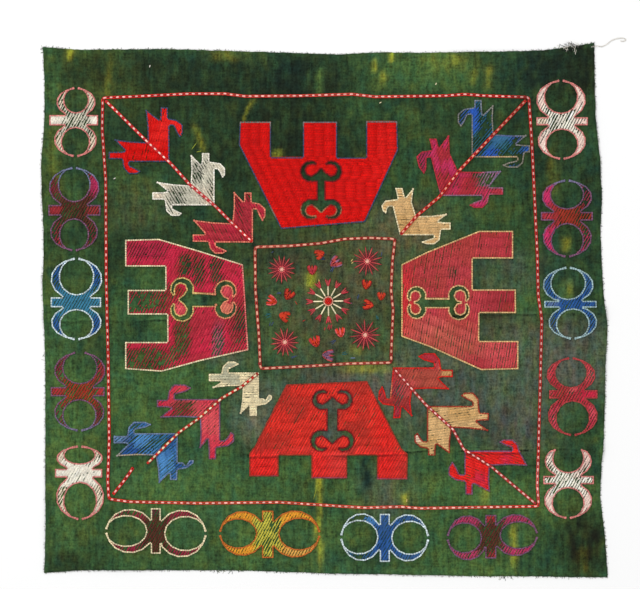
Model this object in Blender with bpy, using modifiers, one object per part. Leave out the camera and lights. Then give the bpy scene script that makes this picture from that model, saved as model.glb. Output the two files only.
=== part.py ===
"""Square ground cloth with hand embroidery, lying flat on a surface.

The cloth is one thin sheet with its storage creases. Each embroidered field is a thin raised
solid that follows the cloth: fourteen pairs of ring horns round the border, four notched
blocks with a horn figure left open in them, twelve leaf pairs on four stems, a frame line, an
inner square line, and stars and buds in the middle.

Tables are in millimetres. X runs to the right, Y up the cloth, Z out of it, and the origin is
in the middle of the cloth on the surface it lies on.
"""

import math
from collections import namedtuple

import bmesh
import bpy

MM = 0.001

# Driving sizes
CLOTH = 1.2
FILL = 0.8
GAP = 0.3
CORD_WIDTH = 3.2
CORD_HEIGHT = 1.0
EDGE_STRIP = 5.0
EDGE_LIFT = 1.3
CREASE_SPAN = 300.0
CORNER_REACH = 3.0
RAMP = 3.5
RAMP_INSET = 2.0

# The cut edges, corner to corner, as uneven as the cloth's own.
LEFT_EDGE = (
    (-282.7, -300.5), (-236.5, -298.9), (-182.8, -299.4), (-48.4, -299.4), (26.9, -302.6),
    (69.9, -300.5), (123.6, -303.2), (153.7, -304.8), (182.8, -301.0), (225.8, -299.4),
    (282.7, -302.1),
)
RIGHT_EDGE = (
    (-287.0, 304.8), (-252.6, 303.2), (-225.8, 299.9), (-198.9, 296.3), (-167.7, 297.8),
    (-147.3, 299.9), (-109.7, 302.1), (-71.0, 301.0), (-53.8, 303.2), (-16.1, 304.8),
    (7.5, 301.0), (41.9, 298.9), (88.2, 296.7), (126.9, 298.9), (161.3, 296.7),
    (184.9, 292.4), (225.8, 291.3), (287.0, 290.3),
)
BOTTOM_EDGE = (
    (-300.5, -282.7), (-262.3, -279.5), (-133.3, -279.5), (-79.6, -280.1), (-36.6, -281.7),
    (-4.3, -280.6), (17.2, -283.8), (81.7, -283.8), (157.0, -286.0), (232.2, -286.0),
    (253.7, -287.0), (304.8, -287.0),
)
TOP_EDGE = (
    (-302.1, 282.7), (-273.0, 279.5), (-144.0, 280.6), (-117.2, 278.4), (-58.0, 276.8),
    (-4.3, 275.7), (17.2, 274.1), (54.8, 276.8), (114.0, 276.3), (183.8, 277.4),
    (253.7, 279.5), (264.5, 282.7), (290.3, 287.0),
)

# Storage creases: height of the crease line at the two sides, half its width, and its lift
# at places along X. A crease rises in straight facets, given as shares of its width and lift.
Crease = namedtuple("Crease", "name y_left y_right half_width lifts")
CREASES = (
    Crease("middle", -11.8, -2.2, 15.0, ((-310, 1.5), (-80, 1.7), (60, 1.9), (310, 2.3))),
    Crease("lower", -152.5, -150.0, 12.0, ((-80, 0.0), (60, 1.3), (310, 1.6))),
    Crease("short", 29.0, 29.0, 8.0, ((-310, 1.2), (-215, 0.0))),
)
FACETS = ((-1.0, 0.0), (-0.45, 0.6), (0.0, 1.0), (0.45, 0.6), (1.0, 0.0))

COLUMNS = (-262, -215, -170, -125, -80, -34, 13, 60, 105, 150, 195, 235, 266)
PLAIN_ROWS = (245, 205, 160, 120, 85, 56, -62, -100, -200, -240)

# Ring horns: u runs along the row of two rings, v across it. Each ring is two crescents.
Ring = namedtuple(
    "Ring",
    "name x y upright half_a reach_a shift_a half_b reach_b shift_b"
    " waist tab_minus tab_plus tab_half band open_a colour",
)
RINGS = (
    Ring("ring_left_1", -266.5, 203.8, True, 21.0, 34.7, 0.3, 22.9, 38.7, -0.4,
         8.2, -28.3, 23.8, 5.4, 8.0, 1.8, "blush"),
    Ring("ring_left_2", -268.2, 107.1, True, 27.2, 45.6, 0.0, 25.7, 43.2, -0.2,
         9.6, -27.6, 28.0, 5.6, 10.5, 1.8, "wine"),
    Ring("ring_left_3", -266.1, 8.3, True, 27.7, 47.0, 0.4, 27.1, 39.8, 0.4,
         8.3, -27.2, 26.7, 5.2, 9.6, 1.8, "blue"),
    Ring("ring_left_4", -262.3, -87.7, True, 27.6, 42.6, 0.2, 27.0, 41.8, -0.4,
         9.0, -31.0, 26.6, 4.8, 9.5, 5.0, "wine"),
    Ring("ring_left_5", -262.3, -175.2, True, 24.9, 28.7, -0.1, 25.8, 49.5, 0.4,
         10.2, -26.4, 24.0, 4.5, 8.4, 1.8, "blush"),
    Ring("ring_right_1", 253.9, 202.7, True, 26.6, 43.7, 0.6, 25.9, 40.5, 1.5,
         8.8, -25.7, 29.3, 4.2, 9.0, 1.8, "blush"),
    Ring("ring_right_2", 261.2, 100.7, True, 27.0, 38.4, -0.3, 26.4, 43.4, 0.0,
         8.2, -28.2, 27.3, 4.5, 9.5, 1.8, "pink"),
    Ring("ring_right_3", 264.5, 6.2, True, 27.3, 39.3, -2.3, 26.2, 37.0, 2.6,
         5.5, -28.0, 28.0, 3.5, 9.0, 1.8, "blue"),
    Ring("ring_right_4", 266.1, -90.5, True, 26.2, 38.9, -0.9, 26.8, 43.9, 1.0,
         7.4, -24.2, 27.4, 4.4, 9.0, 1.8, "rose"),
    Ring("ring_right_5", 262.3, -182.6, True, 25.2, 38.0, -0.1, 25.8, 40.9, -0.2,
         8.4, -26.7, 27.3, 4.3, 9.0, 13.5, "blush"),
    Ring("ring_bottom_1", -180.6, -238.7, False, 25.5, 53.8, -1.3, 23.7, 53.5, 1.4,
         10.0, -22.8, 25.8, 5.2, 7.6, 1.8, "wine"),
    Ring("ring_bottom_2", -60.4, -240.2, False, 25.3, 55.7, -0.3, 24.0, 51.5, 0.3,
         12.3, -25.9, 24.6, 6.0, 8.6, 1.8, "gold"),
    Ring("ring_bottom_3", 65.3, -244.0, False, 25.4, 46.7, -0.6, 25.6, 47.0, 0.2,
         7.9, -26.3, 25.0, 5.3, 8.0, 1.8, "blue"),
    Ring("ring_bottom_4", 179.1, -243.5, False, 22.6, 49.9, 1.8, 24.2, 46.4, -1.1,
         10.4, -23.1, 23.4, 5.8, 8.5, 1.8, "pink"),
)
NECK_RISE = 1.2
NECK_SHARE = 0.824
OUTER_STEPS = 6
HOLE_STEPS = 13

# Notched blocks: a runs across the block and s outwards from the middle of the cloth.
Block = namedtuple("Block", "name side edges tops floors first_side last_side colour")
BLOCKS = (
    Block("block_top", "top", (-90.3, -57.0, -22.6, 14.0, 45.2, 78.5), (202.1, 202.1, 202.6),
          (164.0, 163.6), ((-91.4, 177.4), (-46.2, 87.1)), ((44.1, 94.6), (79.6, 172.0)), "red"),
    Block("block_left", "left", (75.3, 46.8, 21.5, -4.8, -34.4, -63.4), (213.4, 210.7, 213.4),
          (170.3, 168.2), ((76.3, 177.4), (63.4, 133.3), (48.9, 87.1)),
          ((-43.0, 81.2), (-54.8, 133.3), (-66.1, 174.2)), "crimson"),
    Block("block_right", "right", (84.9, 55.4, 22.0, -3.2, -33.3, -63.4), (203.0, 205.9, 208.6),
          (159.6, 166.6), ((84.9, 166.6), (62.4, 110.7), (48.9, 83.1)),
          ((-28.5, 83.1), (-39.8, 114.0), (-64.5, 168.8)), "rose"),
    Block("block_bottom", "bottom", (-80.0, -48.9, -13.4, 24.7, 57.0, 89.2),
          (178.5, 180.6, 181.7), (155.9, 155.9),
          ((-80.1, 153.7), (-74.2, 146.2), (-40.3, 80.1)),
          ((46.2, 76.3), (82.8, 148.4), (89.8, 154.8)), "red"),
)

# The horn figure left open in each block: a stem on the axis with a pair of horns at each end.
Horns = namedtuple("Horns", "axis stem_half root_in radius_in span_in root_out radius_out span_out")
HORNS = {
    "block_top": Horns(-3.1, 3.6, 117.9, 10.6, 21.5, 138.7, 11.0, 21.9),
    "block_left": Horns(11.3, 7.0, 116.0, 11.2, 20.0, 141.4, 11.9, 22.9),
    "block_right": Horns(8.0, 4.9, 108.4, 9.7, 16.8, 134.8, 10.8, 18.0),
    "block_bottom": Horns(9.0, 5.2, 106.0, 10.4, 21.4, 130.0, 11.2, 23.2),
}
HORN_CENTRE = 0.92
HORN_INNER = 0.64
HORN_INNER_SHIFT = 0.12
HORN_BUD = 0.3

# Leaf pairs: an elbow on the stem, a crotch further out, and one arm each way.
Pair = namedtuple("Pair", "name corner elbow crotch across up colour")
Arm = namedtuple("Arm", "reach spike_s spike_t finger hook_s hook_t tip_s lean")
PAIRS = (
    Pair("leaf_top_left_1", (-1, 1), (-166.1, 159.1), (-189.2, 180.1),
         Arm(65.0, 59.0, 24.0, 3.0, 49.0, 13.0, 31.0, 0.0),
         Arm(58.4, 55.9, 25.3, 1.6, 45.0, 14.4, 26.3, 0.0), "red"),
    Pair("leaf_top_left_2", (-1, 1), (-117.7, 112.5), (-143.2, 133.6),
         Arm(66.5, 62.1, 25.0, 6.2, 51.5, 11.3, 35.0, 0.0),
         Arm(55.9, 54.0, 25.2, 5.6, 45.0, 11.3, 29.5, 0.0), "cream"),
    Pair("leaf_top_left_3", (-1, 1), (-76.4, 72.6), (-98.4, 93.0),
         Arm(64.5, 64.0, 24.0, 0.8, 46.0, 12.0, 28.0, 0.0),
         Arm(53.5, 54.3, 20.3, 1.5, 41.6, 13.4, 22.8, 0.0), "crimson"),
    Pair("leaf_top_right_1", (1, 1), (158.6, 164.0), (182.1, 188.6),
         Arm(62.4, 59.0, 23.5, 5.3, 55.0, 11.0, 33.1, 0.0),
         Arm(61.4, 56.1, 23.1, 2.9, 51.8, 14.8, 32.7, 0.0), "blue"),
    Pair("leaf_top_right_2", (1, 1), (125.2, 122.6), (144.0, 148.5),
         Arm(67.0, 65.0, 26.6, 1.4, 50.5, 12.9, 31.0, 0.0),
         Arm(61.3, 65.0, 25.0, 3.3, 47.3, 15.5, 23.7, 0.25), "crimson"),
    Pair("leaf_top_right_3", (1, 1), (81.6, 80.4), (98.9, 100.6),
         Arm(54.2, 50.5, 22.6, 6.0, 42.4, 9.7, 23.3, 0.0),
         Arm(50.5, 50.5, 27.0, 7.6, 36.9, 12.0, 23.3, 0.25), "tan"),
    Pair("leaf_bottom_left_1", (-1, -1), (-157.2, -132.4), (-180.6, -156.0),
         Arm(68.6, 66.0, 24.5, 3.0, 52.5, 12.3, 28.4, 0.0),
         Arm(50.0, 53.5, 20.0, 0.5, 37.4, 17.0, 29.0, 0.0), "blue"),
    Pair("leaf_bottom_left_2", (-1, -1), (-111.5, -95.7), (-133.3, -115.6),
         Arm(67.8, 64.6, 19.6, 0.9, 55.0, 15.6, 31.2, 0.0),
         Arm(64.5, 52.7, 21.8, 4.6, 50.5, 15.0, 35.4, 0.0), "crimson"),
    Pair("leaf_bottom_left_3", (-1, -1), (-70.0, -67.2), (-87.0, -81.4),
         Arm(53.5, 49.8, 16.1, 1.5, 38.6, 11.8, 21.4, 0.0),
         Arm(46.4, 44.4, 20.0, 2.2, 33.9, 14.0, 23.7, 0.0), "cream"),
    Pair("leaf_bottom_right_1", (1, -1), (150.9, -151.0), (178.0, -167.0),
         Arm(0.0, 67.4, 16.1, 0.0, 57.0, 11.8, 37.2, 0.0),
         Arm(47.1, 44.2, 27.1, 1.0, 31.7, 17.2, 11.8, 0.0), "red"),
    Pair("leaf_bottom_right_2", (1, -1), (110.7, -103.2), (137.4, -126.3),
         Arm(66.1, 65.6, 26.3, 7.5, 54.8, 14.4, 36.5, 0.0),
         Arm(52.7, 50.5, 24.0, 1.1, 44.0, 13.4, 28.5, 0.0), "tan"),
    Pair("leaf_bottom_right_3", (1, -1), (74.2, -61.8), (94.6, -85.0),
         Arm(64.0, 60.0, 23.2, 2.5, 50.0, 15.4, 27.0, 0.0),
         Arm(54.2, 52.4, 25.5, 5.5, 39.5, 12.6, 20.0, 0.10), "crimson"),
)
FINGER_WIDTH = 7.6
HOOK_BAND = 6.0

# Two-colour cords couched down: the frame round the field and the square in the middle.
FRAME_PATH = (
    (-237.6, 227.9), (-208.6, 229.0), (-144.0, 232.2), (-106.4, 232.2), (-84.9, 229.5),
    (-25.8, 230.0), (30.1, 231.7), (54.8, 229.0), (130.1, 230.0), (151.6, 231.7),
    (173.0, 230.0), (220.0, 228.5), (223.6, 172.0), (229.0, 59.1), (230.0, 16.1),
    (233.8, -12.9), (231.7, -96.8), (229.0, -188.1), (230.4, -210.7), (103.2, -212.9),
    (81.7, -211.2), (44.1, -212.3), (1.1, -209.6), (-47.3, -206.4), (-133.3, -207.5),
    (-208.6, -205.9), (-231.1, -202.9), (-232.2, -182.8), (-230.6, -139.8), (-231.7, -53.8),
    (-233.8, 32.3), (-234.4, 139.8), (-238.1, 193.5),
)
SQUARE_PATH = (
    (-74.0, 67.6), (-36.6, 68.8), (-4.3, 71.5), (22.6, 76.3), (49.5, 77.4), (76.3, 76.3),
    (73.6, 53.8), (72.0, 21.5), (74.2, 0.0), (72.0, -48.4), (72.4, -56.6), (28.0, -57.5),
    (-15.0, -60.2), (-68.3, -62.9), (-69.9, -26.9), (-72.0, 0.0), (-73.6, 21.5),
)
STEM_CORNERS = {
    "top_left": (-237.6, 227.9),
    "top_right": (220.0, 228.5),
    "bottom_left": (-189.5, -164.6),
    "bottom_right": (230.4, -210.7),
}
STEM_END_GAP = 4.8
STEM_START = 1.2
STEM_STUB = ((-205.0, -169.4), (-214.5, -183.0), (-226.4, -197.8))

Star = namedtuple("Star", "name x y rays inner outer turn")
STARS = (
    Star("star_top_left", -45.5, 43.6, 15, 5.6, 15.4, 0.10),
    Star("star_top_right", 46.4, 52.4, 13, 5.8, 16.6, 0.25),
    Star("star_bottom_left", -42.0, -36.1, 14, 5.4, 15.8, 0.05),
    Star("star_bottom_right", 44.4, -30.0, 13, 6.0, 17.2, 0.18),
)
GREAT_STAR = Star("star_middle", 4.6, 9.4, 12, 8.0, 24.6, 0.02)
GREAT_STAR_FORK = math.radians(6.5)
GREAT_STAR_NOTCH = 0.86

Bud = namedtuple("Bud", "name x y turn size")
BUDS = (
    Bud("bud_1", -55.9, 9.7, 160, 12.5),
    Bud("bud_2", -38.0, 16.4, 60, 13.0),
    Bud("bud_3", -42.6, -6.6, -20, 13.0),
    Bud("bud_4", -12.7, 43.0, 90, 11.5),
    Bud("bud_5", -4.6, 60.0, 200, 11.5),
    Bud("bud_6", 12.0, 51.0, 35, 14.0),
    Bud("bud_7", -9.4, -34.0, 110, 13.0),
    Bud("bud_8", 17.6, -24.0, 100, 11.5),
    Bud("bud_9", 4.4, -48.6, -5, 14.0),
    Bud("bud_10", 45.5, 27.4, 80, 11.5),
    Bud("bud_11", 47.6, 5.6, 170, 12.5),
    Bud("bud_12", 61.4, 14.8, 85, 9.5),
)
BUD_SHAPE = ((0.0, -0.5), (0.46, 0.16), (0.52, 0.44), (0.17, 0.18), (0.0, 0.5),
             (-0.17, 0.18), (-0.52, 0.44), (-0.46, 0.16))

COLOURS = {
    "green": (0.025, 0.075, 0.03),
    "red": (0.55, 0.016, 0.012),
    "crimson": (0.44, 0.03, 0.06),
    "rose": (0.42, 0.045, 0.055),
    "wine": (0.19, 0.03, 0.06),
    "pink": (0.48, 0.05, 0.14),
    "blush": (0.72, 0.52, 0.46),
    "cream": (0.66, 0.58, 0.38),
    "tan": (0.62, 0.43, 0.22),
    "blue": (0.04, 0.12, 0.34),
    "gold": (0.60, 0.28, 0.05),
}


def clear_scene():
    for obj in list(bpy.data.objects):
        bpy.data.objects.remove(obj, do_unlink=True)


def new_collection(name):
    collection = bpy.data.collections.new(name)
    bpy.context.scene.collection.children.link(collection)
    return collection


def material(name, colour, roughness):
    mat = bpy.data.materials.new(name)
    mat.use_nodes = True
    shader = mat.node_tree.nodes["Principled BSDF"]
    shader.inputs["Base Color"].default_value = (*colour, 1.0)
    shader.inputs["Roughness"].default_value = roughness
    shader.inputs["Metallic"].default_value = 0.0
    return mat


def along(points, value):
    """Reads a short table of (place, size) pairs, straight between its rows."""
    if value <= points[0][0]:
        return points[0][1]
    for (start, low), (end, high) in zip(points, points[1:]):
        if value <= end:
            return low + (high - low) * (value - start) / (end - start)
    return points[-1][1]


def crease_line(crease, x):
    share = (x + CREASE_SPAN) / (2 * CREASE_SPAN)
    return crease.y_left + (crease.y_right - crease.y_left) * share


def crease_lift(crease, x):
    first, last = crease.lifts[0][0], crease.lifts[-1][0]
    return along(crease.lifts, x) if first <= x <= last else 0.0


def relief(x, y):
    """Height of the cloth's underside over the surface, in millimetres."""
    total = 0.0
    for crease in CREASES:
        offset = (y - crease_line(crease, x)) / crease.half_width
        if abs(offset) < 1.0:
            total += crease_lift(crease, x) * along(FACETS, offset)
    return total


def edge_relief(place):
    """Lift of the cut edge, rising and lying flat by turns along it."""
    wave = math.sin(place / 46.0) + 0.6 * math.sin(place / 19.0 + 1.3)
    return EDGE_LIFT * max(0.0, wave) / 1.6


def column_places(y):
    left = along(LEFT_EDGE, y)
    right = along(RIGHT_EDGE, y)
    return [left, left + EDGE_STRIP, *COLUMNS, right - EDGE_STRIP, right]


def row_lines():
    """The inner rows of the cloth's grid, as (left, right) heights, from the bottom up."""
    lines = [(y, y) for y in PLAIN_ROWS]
    for crease in CREASES:
        for offset, _ in FACETS:
            step = offset * crease.half_width
            lines.append((crease.y_left + step, crease.y_right + step))
    return sorted(lines)


def row_places(x):
    share = (x + CREASE_SPAN) / (2 * CREASE_SPAN)
    inner = [left + (right - left) * share for left, right in row_lines()]
    bottom = along(BOTTOM_EDGE, x)
    top = along(TOP_EDGE, x)
    return [bottom, bottom + EDGE_STRIP, *inner, top - EDGE_STRIP, top]


def build_cloth(parts, mat):
    """The ground cloth: a grid laid to the cut edges and creases, given its thickness."""
    columns = len(column_places(0))
    rows = len(row_places(0))
    bpy.ops.mesh.primitive_grid_add(x_subdivisions=columns - 1, y_subdivisions=rows - 1, size=1)
    cloth = bpy.context.object
    cloth.name = "ground_cloth"
    cloth.data.name = "ground_cloth"
    for index, vertex in enumerate(cloth.data.vertices):
        column = index % columns
        row = index // columns
        x = column_places(0)[column]
        for _ in range(3):
            y = row_places(x)[row]
            x = column_places(y)[column]
        lift = relief(x, y)
        if row in (0, rows - 1):
            lift += edge_relief(x + row * 7.0)
        elif column in (0, columns - 1):
            lift += edge_relief(y + column * 11.0)
        vertex.co = (x * MM, y * MM, (lift + CLOTH) * MM)
    cloth.data.update()
    solidify = cloth.modifiers.new("thickness", "SOLIDIFY")
    solidify.thickness = CLOTH * MM
    solidify.offset = -1.0
    cloth.data.materials.append(mat)
    for collection in list(cloth.users_collection):
        collection.objects.unlink(cloth)
    parts.objects.link(cloth)
    return cloth


def mesh_of_curve(obj):
    """A curve as a closed mesh, with its caps joined to its sides."""
    bpy.context.view_layer.update()
    graph = bpy.context.evaluated_depsgraph_get()
    mesh = bpy.data.meshes.new_from_object(obj.evaluated_get(graph))
    edit = bmesh.new()
    edit.from_mesh(mesh)
    bmesh.ops.remove_doubles(edit, verts=edit.verts, dist=0.00001)
    edit.to_mesh(mesh)
    edit.free()
    bpy.data.objects.remove(obj, do_unlink=True)
    return mesh


def crease_cuts(low, high):
    """Planes (point, normal) on the creases' facet lines that cross a piece's box."""
    cuts = []
    for crease in CREASES:
        first, last = crease.lifts[0][0], crease.lifts[-1][0]
        if high[0] < first or low[0] > last:
            continue
        normal = (crease.y_left - crease.y_right, 2 * CREASE_SPAN, 0.0)
        for offset, _ in FACETS:
            middle = crease_line(crease, 0.0) + offset * crease.half_width
            cuts.append(((0.0, middle * MM, 0.0), normal))
        cuts.extend(((place * MM, 0.0, 0.0), (1.0, 0.0, 0.0)) for place, _ in crease.lifts)
    return cuts


def lay_on_cloth(mesh):
    """Cuts a flat piece along the creases and lifts it to lie a hair over the cloth."""
    edit = bmesh.new()
    edit.from_mesh(mesh)
    xs = [vertex.co.x / MM for vertex in edit.verts]
    ys = [vertex.co.y / MM for vertex in edit.verts]
    reach = max(crease.half_width for crease in CREASES)
    touched = any(
        min(ys) - reach < crease_line(crease, x) < max(ys) + reach
        for crease in CREASES
        for x in (min(xs), max(xs))
    )
    if touched:
        for point, normal in crease_cuts((min(xs), min(ys)), (max(xs), max(ys))):
            whole = edit.verts[:] + edit.edges[:] + edit.faces[:]
            bmesh.ops.bisect_plane(edit, geom=whole, plane_co=point, plane_no=normal, dist=1e-6)
    base = CLOTH + GAP + FILL / 2
    for vertex in edit.verts:
        vertex.co.z += (base + relief(vertex.co.x / MM, vertex.co.y / MM)) * MM
    bmesh.ops.triangulate(edit, faces=edit.faces)
    bmesh.ops.recalc_face_normals(edit, faces=edit.faces)
    edit.to_mesh(mesh)
    edit.free()


def fill_piece(parts, name, loops, mat):
    """A field of laid thread: a flat outline, thickened and laid on the cloth."""
    curve = bpy.data.curves.new(name, "CURVE")
    curve.dimensions = "2D"
    curve.fill_mode = "BOTH"
    curve.extrude = FILL / 2 * MM
    for loop in loops:
        spline = curve.splines.new("POLY")
        spline.points.add(len(loop) - 1)
        for point, (x, y) in zip(spline.points, loop):
            point.co = (x * MM, y * MM, 0.0, 1.0)
        spline.use_cyclic_u = True
    outline = bpy.data.objects.new(name + "_outline", curve)
    parts.objects.link(outline)
    mesh = mesh_of_curve(outline)
    mesh.name = name
    lay_on_cloth(mesh)
    mesh.materials.clear()
    mesh.materials.append(mat)
    piece = bpy.data.objects.new(name, mesh)
    parts.objects.link(piece)
    return piece


def ring_sides(ring, upper):
    """Outer side, tip and hole of one ring, as functions of an angle from its far tip."""
    half, reach, shift = (
        (ring.half_a, ring.reach_a, ring.shift_a) if upper
        else (ring.half_b, ring.reach_b, ring.shift_b)
    )
    opening = ring.open_a if upper else 1.8
    sign = 1 if upper else -1
    neck = ring.tab_half + NECK_RISE
    centre = (neck + NECK_SHARE * reach) / (1 + NECK_SHARE)
    long = reach - centre
    hole_half = half - ring.band
    hole_long = (reach - ring.waist) / 2
    hole_centre = (reach + ring.waist) / 2
    start = math.asin(opening / half)
    end = math.acos((neck - centre) / long)
    hole_start = math.asin(opening / hole_half)
    tip_u = (centre + long * math.cos(start) + hole_centre + hole_long * math.cos(hole_start)) / 2

    def outer(side):
        angles = [start + (end - start) * (step + 1) / OUTER_STEPS for step in range(OUTER_STEPS)]
        return [(shift + side * half * math.sin(a), sign * (centre + long * math.cos(a)))
                for a in angles]

    def hole():
        span = 2 * (math.pi - hole_start)
        angles = [hole_start + span * (step + 1) / (HOLE_STEPS + 1) for step in range(HOLE_STEPS)]
        return [(shift + hole_half * math.sin(a), sign * (hole_centre + hole_long * math.cos(a)))
                for a in angles]

    def tip(side):
        return (shift + side * opening, sign * tip_u)

    return outer, hole, tip


def tab(ring, side, width):
    """The tab beside the waist, from the upper neck to the lower one."""
    root = width * 0.96
    place = ring.tab_plus if side > 0 else ring.tab_minus
    return [(root, ring.tab_half), (place, ring.tab_half),
            (place, -ring.tab_half), (root, -ring.tab_half)]


def ring_horns(ring):
    """One closed loop round both rings, their tips and the two tabs."""
    outer_a, hole_a, tip_a = ring_sides(ring, True)
    outer_b, hole_b, tip_b = ring_sides(ring, False)
    right_a = outer_a(1)
    right_b = outer_b(1)
    left_a = outer_a(-1)
    left_b = outer_b(-1)
    local = [tip_a(1), *right_a, *tab(ring, 1, min(right_a[-1][0], right_b[-1][0]))]
    local += [*reversed(right_b), tip_b(1), *hole_b(), tip_b(-1), *left_b]
    local += reversed(tab(ring, -1, max(left_a[-1][0], left_b[-1][0])))
    local += [*reversed(left_a), tip_a(-1), *reversed(hole_a())]
    if ring.upright:
        return [(ring.x + v, ring.y + u) for v, u in local]
    return [(ring.x + u, ring.y + v) for v, u in local]


def placed(side, loop):
    """Turns (across, outward) places into the cloth's own X and Y."""
    turns = {
        "top": lambda a, s: (a, s),
        "bottom": lambda a, s: (a, -s),
        "left": lambda a, s: (-s, a),
        "right": lambda a, s: (s, a),
    }
    return [turns[side](a, s) for a, s in loop]


def notched_outline(block):
    """The block's rim: one side, three teeth with two notches, and the other side."""
    loop = []
    for tooth in range(3):
        left, right = block.edges[2 * tooth], block.edges[2 * tooth + 1]
        if tooth:
            loop.append((left, block.floors[tooth - 1]))
        loop.append((left, block.tops[tooth]))
        loop.append((right, block.tops[tooth]))
        if tooth < 2:
            loop.append((right, block.floors[tooth]))
    loop += [*reversed(block.last_side), *reversed(block.first_side)]
    return placed(block.side, loop)


def horn_end(radius, span, stem_half):
    """Right half of a pair of horns, from the stem out, round the curl and back to the bud."""
    across = span - radius
    along_stem = radius * HORN_CENTRE
    points = [(stem_half, 0.0)]
    for degrees in (-112, -75, -40, -5, 30, 65, 100):
        angle = math.radians(degrees)
        points.append((across + radius * math.cos(angle), along_stem + radius * math.sin(angle)))
    inner = radius * HORN_INNER
    lifted = along_stem + radius * HORN_INNER_SHIFT
    tip = math.radians(128)
    points.append((across + radius * 0.9 * math.cos(tip), along_stem + radius * 0.9 * math.sin(tip)))
    for degrees in (95, 50, 5, -45, -95, -150):
        angle = math.radians(degrees)
        points.append((across + inner * math.cos(angle), lifted + inner * math.sin(angle)))
    return points


def horn_figure(block):
    horns = HORNS[block.name]
    far = horn_end(horns.radius_out, horns.span_out, horns.stem_half)
    near = horn_end(horns.radius_in, horns.span_in, horns.stem_half)
    far_bud = horns.radius_out * (HORN_CENTRE + HORN_BUD)
    near_bud = horns.radius_in * (HORN_CENTRE + HORN_BUD)
    loop = [(horns.axis + p, horns.root_out + q) for p, q in far]
    loop.append((horns.axis, horns.root_out + far_bud))
    loop += [(horns.axis - p, horns.root_out + q) for p, q in reversed(far)]
    loop += [(horns.axis - p, horns.root_in - q) for p, q in near]
    loop.append((horns.axis, horns.root_in - near_bud))
    loop += [(horns.axis + p, horns.root_in - q) for p, q in reversed(near)]
    return placed(block.side, loop)


def arm_points(arm, crotch_s, crotch_t):
    """One arm of a leaf pair from the elbow's hook round to the spike, in (s, t)."""
    depth = arm.hook_t
    points = [
        (arm.hook_s - HOOK_BAND, 0.0),
        (arm.hook_s - HOOK_BAND - 0.2, -0.32 * depth),
        (arm.tip_s + 6.0, -0.52 * depth),
        (arm.tip_s, -0.77 * depth),
        (0.45 * (arm.tip_s + arm.hook_s) - 1.0, -depth),
        (arm.hook_s - 5.4, -depth),
        (arm.hook_s, -0.55 * depth),
        (arm.hook_s + 1.6, arm.finger - 0.4),
    ]
    high = arm.finger + FINGER_WIDTH
    notch_s = 0.8 * arm.spike_s
    if arm.reach:
        root = max(notch_s, arm.hook_s + 2.4) + 1.0
        points += [(root, arm.finger), (arm.reach, arm.finger), (arm.reach, high), (root, high)]
        points.append((notch_s, min(high + 1.0, 0.8 * arm.spike_t)))
    middle_t = (crotch_t + arm.spike_t) / 2 - 0.8
    points += [(arm.spike_s, arm.spike_t), ((crotch_s + arm.spike_s) / 2, middle_t)]
    return [(s, t - arm.lean * s) for s, t in points]


def leaf_pair(pair):
    side_x, side_y = pair.corner
    crotch_x = abs(pair.crotch[0] - pair.elbow[0])
    crotch_y = abs(pair.crotch[1] - pair.elbow[1])
    across = arm_points(pair.across, crotch_x, crotch_y)
    up = arm_points(pair.up, crotch_y, crotch_x)
    loop = [(0.0, 0.0), *across, (crotch_x, crotch_y), *[(t, s) for s, t in reversed(up)]]
    return [(pair.elbow[0] + side_x * x, pair.elbow[1] + side_y * y) for x, y in loop]


def star_outline(star):
    step = 2 * math.pi / star.rays
    loop = []
    for ray in range(star.rays):
        angle = star.turn + ray * step
        loop.append((angle, star.outer))
        loop.append((angle + step / 2, star.inner))
    return [(star.x + r * math.cos(a), star.y + r * math.sin(a)) for a, r in loop]


def great_star_outline(star):
    """Rays that fork at their ends."""
    step = 2 * math.pi / star.rays
    loop = []
    for ray in range(star.rays):
        angle = star.turn + ray * step
        loop.append((angle - GREAT_STAR_FORK, star.outer))
        loop.append((angle, star.outer * GREAT_STAR_NOTCH))
        loop.append((angle + GREAT_STAR_FORK, star.outer))
        loop.append((angle + step / 2, star.inner))
    return [(star.x + r * math.cos(a), star.y + r * math.sin(a)) for a, r in loop]


def bud_outline(bud):
    turn = math.radians(bud.turn - 90)
    cos, sin = math.cos(turn), math.sin(turn)
    return [(bud.x + bud.size * (x * cos - y * sin), bud.y + bud.size * (x * sin + y * cos))
            for x, y in BUD_SHAPE]


def soften(path, closed):
    """Rounds each sharp corner of a cord's path with three points."""
    result = []
    count = len(path)
    for index, (x, y) in enumerate(path):
        if not closed and index in (0, count - 1):
            result.append((x, y))
            continue
        before = path[index - 1]
        after = path[(index + 1) % count]
        back = (before[0] - x, before[1] - y)
        ahead = (after[0] - x, after[1] - y)
        back_length = math.hypot(*back)
        ahead_length = math.hypot(*ahead)
        cosine = (back[0] * ahead[0] + back[1] * ahead[1]) / (back_length * ahead_length)
        if cosine < -0.75:
            result.append((x, y))
            continue
        start = (x + back[0] / back_length * CORNER_REACH, y + back[1] / back_length * CORNER_REACH)
        end = (x + ahead[0] / ahead_length * CORNER_REACH,
               y + ahead[1] / ahead_length * CORNER_REACH)
        result += [start, ((start[0] + end[0] + 2 * x) / 4, (start[1] + end[1] + 2 * y) / 4), end]
    return result


def with_crease_points(path, closed):
    """Adds a point wherever a path crosses a facet line of a crease. Points are (x, y, rise)."""
    result = []
    pairs = list(zip(path, path[1:] + path[:1])) if closed else list(zip(path, path[1:]))
    for (x0, y0, z0), (x1, y1, z1) in pairs:
        shares = []
        for crease in CREASES:
            for offset, _ in FACETS:
                step = offset * crease.half_width
                start = y0 - crease_line(crease, x0) - step
                end = y1 - crease_line(crease, x1) - step
                if start * end < 0 and crease_lift(crease, (x0 + x1) / 2) > 0:
                    shares.append(start / (start - end))
        result.append((x0, y0, z0))
        for share in sorted(shares):
            result.append(tuple(a + (b - a) * share for a, b in zip((x0, y0, z0), (x1, y1, z1))))
    if not closed:
        result.append(path[-1])
    return result


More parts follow.
